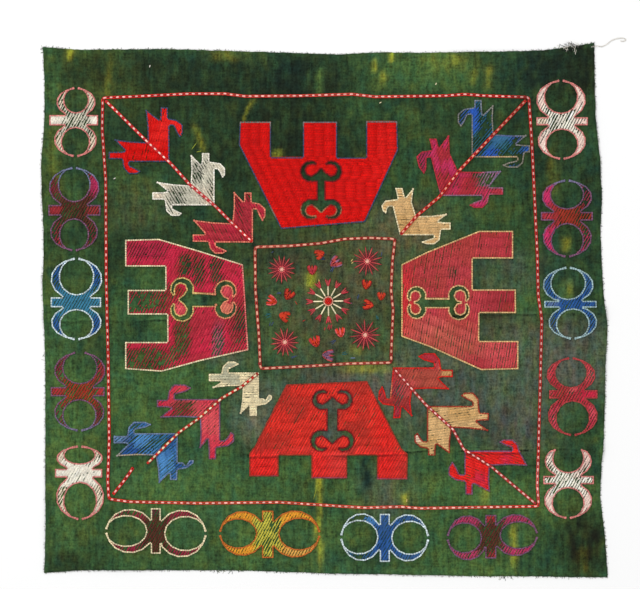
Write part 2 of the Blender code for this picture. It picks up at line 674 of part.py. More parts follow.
def cord_profile():
    """Flattened six-sided section of a couched cord, as a guide for the sweeps."""
    curve = bpy.data.curves.new("cord_section", "CURVE")
    curve.dimensions = "2D"
    spline = curve.splines.new("POLY")
    half, high = CORD_WIDTH / 2, CORD_HEIGHT / 2
    section = ((-half, -0.1), (-half * 0.6, -high), (half * 0.6, -high),
               (half, -0.1), (half * 0.55, high), (-half * 0.55, high))
    spline.points.add(len(section) - 1)
    for point, (x, y) in zip(spline.points, section):
        point.co = (x * MM, y * MM, 0.0, 1.0)
    spline.use_cyclic_u = True
    guide = bpy.data.objects.new("cord_section", curve)
    guide.hide_render = True
    guide.display_type = "WIRE"
    return guide


def couched_cord(parts, guide, name, path, closed, mat):
    """A cord swept along a path of (x, y, rise) points, lying a hair over what is under it."""
    curve = bpy.data.curves.new(name, "CURVE")
    curve.dimensions = "3D"
    curve.twist_mode = "Z_UP"
    curve.bevel_mode = "OBJECT"
    curve.bevel_object = guide
    curve.use_fill_caps = True
    points = with_crease_points(path, closed)
    spline = curve.splines.new("POLY")
    spline.points.add(len(points) - 1)
    base = CLOTH + GAP + CORD_HEIGHT / 2
    for point, (x, y, rise) in zip(spline.points, points):
        point.co = (x * MM, y * MM, (base + rise + relief(x, y)) * MM, 1.0)
    spline.use_cyclic_u = closed
    sweep = bpy.data.objects.new(name + "_sweep", curve)
    parts.objects.link(sweep)
    mesh = mesh_of_curve(sweep)
    mesh.name = name
    edit = bmesh.new()
    edit.from_mesh(mesh)
    bmesh.ops.recalc_face_normals(edit, faces=edit.faces)
    edit.to_mesh(mesh)
    edit.free()
    mesh.materials.clear()
    mesh.materials.append(mat)
    piece = bpy.data.objects.new(name, mesh)
    parts.objects.link(piece)
    return piece


def step_towards(start, end, distance):
    length = math.hypot(end[0] - start[0], end[1] - start[1])
    share = distance / length
    return (start[0] + (end[0] - start[0]) * share, start[1] + (end[1] - start[1]) * share)


def stem_path(corner_name):
    """A stem from the inner square to its corner, rising over each leaf pair on the way."""
    over = FILL + GAP
    pairs = [pair for pair in PAIRS if pair.name.startswith("leaf_" + corner_name)]
    pairs.sort(key=lambda pair: pair.name, reverse=True)
    corner = STEM_CORNERS[corner_name]
    path = []
    for index, pair in enumerate(pairs):
        following = pairs[index + 1].elbow if index + 1 < len(pairs) else corner
        if index == 0:
            path.append((*step_towards(pair.elbow, pair.crotch, STEM_START), over))
        else:
            before = pairs[index - 1].crotch
            path.append((*step_towards(pair.elbow, before, RAMP_INSET + RAMP), 0.0))
            path.append((*step_towards(pair.elbow, before, RAMP_INSET), over))
        path.append((*step_towards(pair.crotch, following, RAMP_INSET), over))
        path.append((*step_towards(pair.crotch, following, RAMP_INSET + RAMP), 0.0))
    last = (path[-1][0], path[-1][1])
    gap = 0.0 if corner_name == "bottom_left" else STEM_END_GAP
    length = math.hypot(corner[0] - last[0], corner[1] - last[1])
    path.append((*step_towards(last, corner, length - gap), 0.0))
    return path


def build_fields(parts, silk):
    for ring in RINGS:
        fill_piece(parts, ring.name, [ring_horns(ring)], silk[ring.colour])
    for block in BLOCKS:
        loops = [notched_outline(block), horn_figure(block)]
        fill_piece(parts, block.name, loops, silk[block.colour])
    for pair in PAIRS:
        fill_piece(parts, pair.name, [leaf_pair(pair)], silk[pair.colour])


def build_flowers(parts, silk):
    for star in STARS:
        fill_piece(parts, star.name, [star_outline(star)], silk["pink"])
    fill_piece(parts, GREAT_STAR.name, [great_star_outline(GREAT_STAR)], silk["cream"])
    for bud in BUDS:
        fill_piece(parts, bud.name, [bud_outline(bud)], silk["red"])


def build_cords(parts, helpers, silk):
    guide = cord_profile()
    helpers.objects.link(guide)
    frame = [(x, y, 0.0) for x, y in soften(FRAME_PATH, True)]
    couched_cord(parts, guide, "frame_cord", frame, True, silk["red"])
    square = [(x, y, 0.0) for x, y in soften(SQUARE_PATH, True)]
    couched_cord(parts, guide, "square_cord", square, True, silk["red"])
    for corner_name in STEM_CORNERS:
        name = "stem_" + corner_name
        couched_cord(parts, guide, name, stem_path(corner_name), False, silk["red"])
    stub = [(x, y, 0.0) for x, y in STEM_STUB]
    couched_cord(parts, guide, "stem_bottom_left_stub", stub, False, silk["red"])


def main():
    clear_scene()
    parts = new_collection("embroidered_panel")
    helpers = new_collection("guides")
    silk = {name: material(name + "_silk", colour, 0.45) for name, colour in COLOURS.items()}
    build_cloth(parts, material("dyed_cloth", COLOURS["green"], 0.85))
    build_fields(parts, silk)
    build_flowers(parts, silk)
    build_cords(parts, helpers, silk)


main()
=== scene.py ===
"""Dresses the embroidered panel: dyed cloth, laid silk, couching, chain stitch and cords."""

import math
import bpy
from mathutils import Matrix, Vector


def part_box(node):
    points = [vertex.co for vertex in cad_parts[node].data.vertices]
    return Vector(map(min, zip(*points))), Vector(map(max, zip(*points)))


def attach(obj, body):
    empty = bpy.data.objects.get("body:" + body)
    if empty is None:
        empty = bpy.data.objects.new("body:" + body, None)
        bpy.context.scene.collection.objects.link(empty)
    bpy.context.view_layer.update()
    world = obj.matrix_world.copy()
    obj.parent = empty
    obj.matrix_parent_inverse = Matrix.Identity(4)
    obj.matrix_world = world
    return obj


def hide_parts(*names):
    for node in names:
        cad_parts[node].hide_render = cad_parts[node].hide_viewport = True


bl_info = {
    "name": "Embroidered cloth panel",
    "version": (1, 0, 0),
    "blender": (4, 5, 0),
    "location": "View3D > Sidebar > Embroidery",
    "description": "Dresses the panel's solids in dyed cloth and silk stitches",
    "category": "Object",
}

from collections import namedtuple

import bmesh
import bpy
import numpy as np
from mathutils import Vector
from mathutils.bvhtree import BVHTree

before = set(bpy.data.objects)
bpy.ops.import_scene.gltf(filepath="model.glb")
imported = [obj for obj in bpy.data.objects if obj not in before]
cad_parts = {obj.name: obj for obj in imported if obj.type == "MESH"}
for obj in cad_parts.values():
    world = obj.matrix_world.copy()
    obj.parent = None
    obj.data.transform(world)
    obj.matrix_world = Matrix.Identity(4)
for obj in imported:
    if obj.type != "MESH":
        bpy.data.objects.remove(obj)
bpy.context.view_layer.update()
MM = 0.001

# What each embroidered field is worked in. lay is the slope of its laid threads in degrees,
# worn the share of them that has gone, waist the same between two rings, and stripe how much
# darker every third thread is. where says which part of the field has the second silk.
Style = namedtuple("Style", "node fill second where outline lay worn waist stripe middle")
STYLES = (
    Style("ring_left_1", "bone", "pearl", "waist", "petal", 62, 0.46, 0.52, 0.20, (-266.5, 203.8)),
    Style("ring_left_2", "bramble", "bark", "waist", "heather", 60, 0.68, 0.52, 0.30, (-268.2, 107.1)),
    Style("ring_left_3", "blue", "lagoon", "waist", "ice", 60, 0.42, 0.30, 0.30, (-266.1, 8.3)),
    Style("ring_left_4", "bramble", "brick", "waist", "heather", 58, 0.68, 0.62, 0.30, (-262.3, -87.7)),
    Style("ring_left_5", "bone", "white", "waist", "petal", 60, 0.48, 0.12, 0.20, (-262.3, -175.2)),
    Style("ring_right_1", "blush", "white", "waist", "petal", 62, 0.10, 0.52, 0.20, (253.9, 202.7)),
    Style("ring_right_2", "pink", "brick", "waist", "heather", 60, 0.34, 0.40, 0.30, (261.2, 100.7)),
    Style("ring_right_3", "denim", "blue", "waist", "frost", 60, 0.34, 0.30, 0.30, (264.5, 6.2)),
    Style("ring_right_4", "rose", "coral", "patches", "rosewood", 60, 0.40, 0.30, 0.30, (266.1, -90.5)),
    Style("ring_right_5", "blush", "white", "waist", "petal", 60, 0.16, 0.46, 0.20, (262.3, -182.6)),
    Style("ring_bottom_1", "damson", "bark", "waist", "cream", 60, 0.52, 0.44, 0.35, (-180.6, -238.7)),
    Style("ring_bottom_2", "gold", "lemon", "waist", "amber", 62, 0.18, 0.52, 0.25, (-60.4, -240.2)),
    Style("ring_bottom_3", "denim", "blue", "waist", "ice", 60, 0.26, 0.25, 0.20, (65.3, -244.0)),
    Style("ring_bottom_4", "orchid", "bark", "waist", "heather", 60, 0.30, 0.50, 0.30, (179.1, -243.5)),
    Style("block_top", "red", "red", "patches", "slate", 0, 0.0, 0.0, 0.05, (0, 150)),
    Style("block_left", "crimson", "rose", "patches", "cream", 62, 0.06, 0.0, 0.30, (-150, 10)),
    Style("block_right", "rose", "brick", "patches", "tan", 80, 0.04, 0.0, 0.30, (150, 10)),
    Style("block_bottom", "poppy", "russet", "patches", "brick", 60, 0.05, 0.0, 0.40, (5, -130)),
    Style("leaf_top_left_1", "red", "scarlet", "patches", "slate", 75, 0.0, 0.0, 0.15, (-190, 180)),
    Style("leaf_top_left_2", "pearl", "bone", "patches", "white", -60, 0.07, 0.0, 0.20, (-143, 134)),
    Style("leaf_top_left_3", "rose", "crimson", "patches", "salmon", -62, 0.06, 0.0, 0.28, (-98, 93)),
    Style("leaf_top_right_1", "azure", "teal", "patches", "putty", 50, 0.26, 0.0, 0.25, (182, 189)),
    Style("leaf_top_right_2", "rose", "pink", "patches", "rose", 62, 0.10, 0.0, 0.30, (144, 148)),
    Style("leaf_top_right_3", "tan", "sand", "patches", "cream", 0, 0.02, 0.0, 0.20, (99, 101)),
    Style("leaf_bottom_left_1", "blue", "sky", "patches", "steel", 40, 0.30, 0.0, 0.22, (-181, -156)),
    Style("leaf_bottom_left_2", "crimson", "coral", "patches", "heather", 45, 0.08, 0.0, 0.25, (-133, -116)),
    Style("leaf_bottom_left_3", "cream", "ash", "patches", "cream", 0, 0.05, 0.0, 0.25, (-87, -81)),
    Style("leaf_bottom_right_1", "scarlet", "crimson", "patches", "heather", -20, 0.04, 0.0, 0.24, (178, -167)),
    Style("leaf_bottom_right_2", "tan", "sand", "patches", "brick", 8, 0.06, 0.0, 0.22, (137, -126)),
    Style("leaf_bottom_right_3", "rose", "brick", "patches", "cord", 62, 0.03, 0.0, 0.22, (95, -85)),
)
# The edge of the horn figure left open in each block.
FIGURE_EDGES = {"block_top": "garnet", "block_left": "straw", "block_right": "tan",
                "block_bottom": "garnet"}

# Where a field was worked in another silk or has worn: middle and half widths in mm, how much
# of the other silk shows, and the share of the threads gone there beyond the field's own.
Patch = namedtuple("Patch", "node x y half_x half_y silk share worn")
PATCHES = (
    Patch("block_left", -149, 49, 7, 14, "bark", 0.6, 0.80),
    Patch("block_left", -134, 42, 7, 18, "bark", 0.5, 0.66),
    Patch("block_left", -116, 43, 7, 17, "bark", 0.5, 0.70),
    Patch("block_left", -153, -31, 9, 22, "bark", 0.6, 0.74),
    Patch("block_left", -114, -33, 6, 17, "steel", 0.3, 0.72),
    Patch("block_left", -90, -12, 10, 21, "bark", 0.5, 0.62),
    Patch("block_left", -198, 11, 32, 15, "bark", 0.6, 0.84),
    Patch("block_left", -194, -54, 34, 15, "bark", 0.6, 0.78),
    Patch("block_left", -192, 64, 26, 12, "wine", 0.4, 0.24),
    Patch("block_left", -92, -42, 12, 12, "rose", 0.5, 0.28),
    Patch("block_left", -158, 19, 7, 6, "brick", 0.8, 0.30),
    Patch("block_left", -105, 18, 7, 6, "coral", 0.8, -0.1),
    Patch("block_left", -103, 2, 8, 6, "salmon", 0.9, 0.0),
    Patch("block_left", -155, 0, 7, 5, "coral", 0.9, 0.0),
    Patch("block_right", 89, 10, 8, 38, "scarlet", 0.5, 0.0),
    Patch("block_right", 125, 52, 26, 20, "brick", 0.35, 0.06),
    Patch("block_right", 139, 40, 5, 6, "bark", 0.7, 0.30),
    Patch("block_right", 146, -36, 50, 20, "salmon", 0.34, 0.08),
    Patch("block_right", 110, -20, 30, 14, "salmon", 0.30, 0.0),
    Patch("block_right", 146, 30, 60, 60, "coral", 0.36, 0.0),
    Patch("block_right", 190, 10, 22, 12, "garnet", 0.35, 0.05),
    Patch("block_right", 192, -48, 20, 14, "coral", 0.6, 0.1),
    Patch("block_right", 172, -20, 3, 16, "garnet", 0.6, 0.1),
    Patch("block_top", -80, 160, 14, 40, "garnet", 0.14, 0.0),
    Patch("block_top", 66, 165, 12, 34, "scarlet", 0.3, 0.0),
    Patch("block_top", 0, 130, 40, 20, "garnet", 0.08, 0.0),
    Patch("block_top", 0, 150, 100, 70, "red", 0.0, -0.4),
    Patch("block_bottom", 0, -168, 96, 18, "coral", 0.16, -0.2),
    Patch("block_bottom", -67, -167, 17, 14, "scarlet", 0.9, -0.1),
    Patch("block_bottom", -12, -167, 18, 14, "scarlet", 0.8, -0.1),
    Patch("block_bottom", 60, -167, 22, 14, "scarlet", 0.9, -0.1),
    Patch("block_bottom", 66, -125, 9, 34, "scarlet", 0.7, -0.1),
    Patch("ring_left_1", -288, 204, 9, 7, "white", 1.0, -0.8),
    Patch("ring_left_1", -245, 204, 8, 7, "white", 1.0, -0.8),
    Patch("ring_left_2", -244, 140, 7, 16, "pink", 0.8, -0.75),
    Patch("ring_left_2", -288, 107, 6, 6, "rose", 0.7, -0.40),
    Patch("ring_left_2", -246, 107, 8, 6, "rose", 0.6, -0.16),
    Patch("ring_left_2", -280, 72, 8, 16, "rose", 0.4, -0.24),
    Patch("ring_left_4", -288, -88, 6, 6, "rose", 0.8, -0.40),
    Patch("ring_left_4", -238, -88, 7, 6, "rose", 0.7, -0.30),
    Patch("ring_left_4", -242, -62, 8, 12, "rose", 0.4, -0.20),
    Patch("ring_left_4", -262, -88, 9, 9, "brick", 0.5, -0.20),
    Patch("ring_bottom_2", -96, -240, 14, 14, "amber", 0.35, 0.05),
    Patch("ring_bottom_2", -24, -256, 20, 10, "straw", 0.45, 0.10),
    Patch("ring_bottom_3", 32, -222, 17, 9, "denim", 0.5, 1.10),
    Patch("ring_bottom_3", 32, -262, 17, 11, "teal", 0.5, 0.46),
    Patch("ring_bottom_3", 50, -226, 7, 5, "sky", 0.6, -0.50),
    Patch("ring_bottom_3", 65, -230, 7, 12, "denim", 0.7, 0.00),
    Patch("ring_left_5", -282, -175, 8, 6, "white", 1.0, -0.4),
    Patch("ring_left_5", -250, -215, 8, 20, "white", 0.5, -0.3),
    Patch("ring_right_1", 234, 203, 8, 6, "bone", 1.0, -0.2),
    Patch("ring_right_1", 276, 204, 8, 6, "blush", 1.0, -0.4),
    Patch("ring_right_2", 241, 108, 9, 46, "pink", 0.3, -0.20),
    Patch("ring_right_2", 284, 130, 12, 24, "bramble", 0.8, 0.42),
    Patch("ring_right_2", 284, 78, 12, 18, "bramble", 0.6, 0.30),
    Patch("ring_right_3", 244, -30, 12, 18, "slate", 0.6, 0.30),
    Patch("ring_right_5", 240, -170, 6, 12, "white", 0.5, 0.34),
    Patch("ring_right_5", 276, -168, 8, 12, "petal", 0.4, 0.16),
    Patch("ring_right_3", 244, 6, 8, 6, "steel", 0.6, -0.2),
    Patch("ring_right_4", 284, -90, 8, 6, "crimson", 0.8, -0.3),
    Patch("ring_right_4", 266, -116, 26, 14, "pink", 0.3, 0.0),
    Patch("ring_right_4", 256, -90, 7, 9, "brick", 0.4, 0.0),
    Patch("ring_bottom_1", -180, -214, 8, 8, "wine", 0.8, 0.1),
    Patch("ring_bottom_4", 180, -219, 8, 8, "rose", 0.9, -0.35),
    Patch("ring_bottom_4", 180, -268, 8, 6, "rose", 0.9, -0.35),
    Patch("leaf_top_left_2", -157, 124, 9, 10, "soot", 0.3, 0.50),
    Patch("leaf_top_left_2", -136, 148, 6, 11, "soot", 0.3, 0.44),
    Patch("leaf_top_left_2", -118, 130, 5, 12, "soot", 0.2, 0.40),
    Patch("leaf_top_left_3", -93, 118, 5, 16, "garnet", 0.5, 0.34),
    Patch("leaf_top_left_3", -88, 122, 14, 6, "garnet", 0.6, 0.24),
    Patch("leaf_top_right_1", 147, 207, 10, 12, "slate", 0.5, 0.60),
    Patch("leaf_top_right_1", 174, 202, 9, 20, "teal", 0.8, 0.50),
    Patch("leaf_top_right_1", 164, 180, 8, 10, "teal", 0.7, 0.30),
    Patch("leaf_top_right_1", 161, 212, 4, 18, "azure", 0.9, -0.30),
    Patch("leaf_top_right_1", 188, 182, 12, 8, "sky", 0.4, -0.30),
    Patch("leaf_top_right_1", 200, 172, 14, 8, "teal", 0.7, 0.40),
    Patch("leaf_top_right_1", 210, 182, 8, 8, "slate", 0.6, 0.60),
    Patch("leaf_top_right_1", 203, 161, 15, 7, "plum", 0.4, 0.90),
    Patch("leaf_top_right_2", 164, 144, 6, 8, "bark", 0.5, 0.40),
    Patch("leaf_top_right_2", 178, 142, 12, 12, "steel", 0.6, 0.62),
    Patch("leaf_top_right_2", 170, 118, 9, 8, "pink", 0.8, 0.0),
    Patch("leaf_top_right_2", 106, 160, 8, 12, "wine", 0.5, 0.30),
    Patch("leaf_bottom_left_1", -201, -157, 9, 9, "azure", 0.5, 0.30),
    Patch("leaf_bottom_left_1", -219, -140, 10, 8, "steel", 0.6, 0.10),
    Patch("leaf_bottom_left_1", -203, -120, 8, 8, "denim", 0.7, 0.30),
    Patch("leaf_bottom_left_1", -176, -142, 9, 9, "lagoon", 0.6, 0.10),
    Patch("leaf_bottom_left_1", -174, -160, 12, 8, "sky", 0.7, -0.20),
    Patch("leaf_bottom_left_1", -188, -150, 8, 8, "sky", 0.4, 0.40),
    Patch("leaf_bottom_left_1", -152, -186, 12, 10, "azure", 0.7, 0.10),
    Patch("leaf_bottom_left_2", -152, -106, 13, 9, "bark", 0.7, 0.44),
    Patch("leaf_bottom_left_2", -121, -122, 12, 30, "coral", 0.55, 0.0),
    Patch("leaf_bottom_right_3", 132, -66, 7, 6, "straw", 0.8, 0.0),
    Patch("leaf_bottom_right_3", 84, -110, 9, 12, "wine", 0.3, 0.1),
    Patch("leaf_bottom_right_3", 80, -88, 7, 10, "wine", 0.3, 0.5),
    Patch("leaf_bottom_right_3", 106, -76, 30, 18, "salmon", 0.25, 0.0),
    Patch("leaf_bottom_right_2", 97, -136, 7, 8, "blush", 0.8, 0.0),
)
# The same for the chain stitch round a field.
EDGE_PATCHES = (
    Patch("block_left", -76, 10, 16, 60, "coral", 0.9, 0),
    Patch("block_left", -105, 10, 22, 24, "coral", 0.6, 0),
    Patch("block_top", -60, 202, 60, 5, "putty", 0.8, 0),
    Patch("block_top", 60, 202, 60, 5, "putty", 0.6, 0),
    Patch("block_top", -20, 106, 50, 6, "tan", 0.4, 0),
    Patch("block_right", 78, 10, 10, 50, "straw", 0.7, 0),
    Patch("block_bottom", 0, -183, 90, 5, "mauve", 0.6, 0),
    Patch("leaf_top_right_1", 160, 216, 16, 20, "steel", 0.6, 0),
    Patch("leaf_top_right_1", 196, 184, 16, 6, "azure", 0.6, 0),
    Patch("leaf_top_right_1", 190, 166, 20, 4, "tan", 0.7, 0),
    Patch("leaf_top_right_2", 150, 122, 30, 8, "steel", 0.6, 0),
    Patch("leaf_top_right_2", 184, 142, 14, 14, "steel", 0.8, 0),
    Patch("leaf_bottom_right_3", 79, -88, 8, 10, "tan", 0.6, 0),
    Patch("leaf_bottom_left_2", -145, -120, 26, 6, "steel", 0.6, 0),
    Patch("leaf_bottom_left_1", -205, -156, 18, 4, "straw", 0.6, 0),
    Patch("ring_left_2", -268, 145, 30, 14, "steel", 0.8, 0),
    Patch("ring_left_4", -262, -125, 30, 14, "steel", 0.5, 0),
    Patch("ring_right_2", 268, 145, 24, 14, "steel", 0.6, 0),
)
# The same for the cords.
CORD_PATCHES = (
    Patch("frame_cord", -236, 140, 14, 80, "bark", 0.30, 0),
    Patch("frame_cord", -234, -10, 14, 50, "bark", 0.16, 0),
    Patch("frame_cord", 228, 90, 16, 120, "bark", 0.26, 0),
    Patch("frame_cord", 232, -80, 14, 70, "bark", 0.34, 0),
    Patch("frame_cord", 216, 226, 16, 14, "bark", 0.4, 0),
    Patch("frame_cord", 222, 180, 16, 24, "bark", 0.2, 0),
    Patch("frame_cord", 0, -210, 220, 12, "sand", 0.12, 0),
    Patch("frame_cord", 90, -212, 80, 12, "shell", 0.06, 0),
    Patch("frame_cord", 230, -182, 10, 20, "shell", 0.16, 0),
    Patch("frame_cord", -20, 231, 110, 12, "salmon", 0.16, 0),
    Patch("square_cord", -56, 68, 18, 12, "salmon", 0.30, 0),
    Patch("stem_top_right", 204, 208, 34, 34, "bark", 0.30, 0),
    Patch("stem_top_left", -120, 112, 30, 34, "rosewood", 0.30, 0),
    Patch("square_cord", 0, -60, 70, 10, "peach", 0.07, 0),
)

# Buds of the middle square: middle, heading and length, and the silks of middle and petals.
Bud = namedtuple("Bud", "node x y turn size heart petals")
BUDS = (
    Bud("bud_1", -55.9, 9.7, 160, 12.5, "ember", "coral"),
    Bud("bud_2", -38.0, 16.4, 60, 13.0, "ember", "garnet"),
    Bud("bud_3", -42.6, -6.6, -20, 13.0, "ember", "brick"),
    Bud("bud_4", -12.7, 43.0, 90, 11.5, "rose", "brick"),
    Bud("bud_5", -4.6, 60.0, 200, 11.5, "ember", "brick"),
    Bud("bud_6", 12.0, 51.0, 35, 14.0, "rosewood", "heather"),
    Bud("bud_7", -9.4, -34.0, 110, 13.0, "ember", "rose"),
    Bud("bud_8", 17.6, -24.0, 100, 11.5, "ember", "coral"),
    Bud("bud_9", 4.4, -48.6, -5, 14.0, "heather", "rosewood"),
    Bud("bud_10", 45.5, 27.4, 80, 11.5, "ember", "garnet"),
    Bud("bud_11", 47.6, 5.6, 170, 12.5, "ember", "garnet"),
    Bud("bud_12", 61.4, 14.8, 85, 9.5, "ember", "brick"),
)
SMALL_STARS = ("star_top_left", "star_top_right", "star_bottom_left", "star_bottom_right")

# Cords: the silks of the sides, the dashes and what lies between, and the dashes' sizes in mm.
Cord = namedtuple("Cord", "node side dash between pitch length width")
CORDS = (
    Cord("frame_cord", "cord", "shell", "garnet", 6.8, 4.3, 1.5),
    Cord("square_cord", "brick", "peach", "garnet", 7.2, 5.4, 1.9),
    Cord("stem_top_left", "cord", "blush", "rose", 6.4, 4.0, 1.5),
    Cord("stem_top_right", "cord", "peach", "garnet", 6.6, 4.2, 1.5),
    Cord("stem_bottom_left", "brick", "cream", "cord", 6.6, 4.8, 1.8),
    Cord("stem_bottom_left_stub", "cord", "shell", "garnet", 6.6, 4.2, 1.5),
    Cord("stem_bottom_right", "brick", "shell", "rose", 6.2, 4.2, 1.6),
)

# Loose stitches on the ground: place and turn in mm and degrees, length, threads and silk.
LooseStitch = namedtuple("LooseStitch", "x y turn length threads silk")
LOOSE_STITCHES = (
    LooseStitch(-2, 57, 10, 9, 3, "navy"), LooseStitch(8, 44, 60, 8, 2, "slate"),
    LooseStitch(-60, -5, 20, 9, 3, "teal"), LooseStitch(-57, -14, 60, 7, 2, "slate"),
    LooseStitch(-12, 33, 80, 9, 4, "moss"), LooseStitch(-16, 30, 70, 8, 3, "moss"),
    LooseStitch(-6, 30, 95, 6, 2, "straw"), LooseStitch(30, 52, 30, 4, 2, "straw"),
    LooseStitch(10, -34, 25, 9, 2, "slate"), LooseStitch(22, -46, 15, 8, 2, "teal"),
    LooseStitch(-32, -50, 10, 8, 2, "slate"), LooseStitch(58, -8, 95, 6, 2, "teal"),
    LooseStitch(36, 14, 100, 6, 2, "slate"), LooseStitch(-56, 62, 40, 5, 1, "slate"),
    LooseStitch(-48, 18, 0, 7, 2, "slate"), LooseStitch(-22, -12, 30, 5, 1, "brick"),
    LooseStitch(6, -18, 88, 7, 3, "rose"), LooseStitch(1, -20, 60, 5, 1, "rose"),
    LooseStitch(28, 8, 20, 5, 1, "mauve"), LooseStitch(-30, 8, 100, 6, 1, "brick"),
    LooseStitch(62, 60, 85, 6, 1, "slate"), LooseStitch(30, -52, 170, 6, 1, "steel"),
    LooseStitch(-140, 178, 55, 10, 1, "moss"), LooseStitch(-133, 170, 10, 8, 1, "moss"),
    LooseStitch(-225, 141, 30, 3, 1, "white"), LooseStitch(-187, 262, 85, 3, 1, "white"),
    LooseStitch(60, 222, 40, 3, 1, "cream"), LooseStitch(45, 145, 20, 6, 1, "moss"),
    LooseStitch(120, 243, 70, 3, 1, "cream"), LooseStitch(-7, -150, 90, 14, 1, "moss"),
    LooseStitch(-8, -194, 88, 22, 1, "moss"), LooseStitch(88, -204, 80, 5, 1, "straw"),
)

# Sharp folds, drawn only as a painted shade line with a painted highlight line beside it: height in the middle,
# slope, and how far to each side of the middle the lines don't show, and where along the cloth they begin, in
# mm.
Crease = namedtuple("Crease", "y slope clear begins")
PAINTED_CREASE_LINES = (Crease(-7.0, 0.0158, 110, -310), Crease(-152.4, 0.0160, 0, -110))
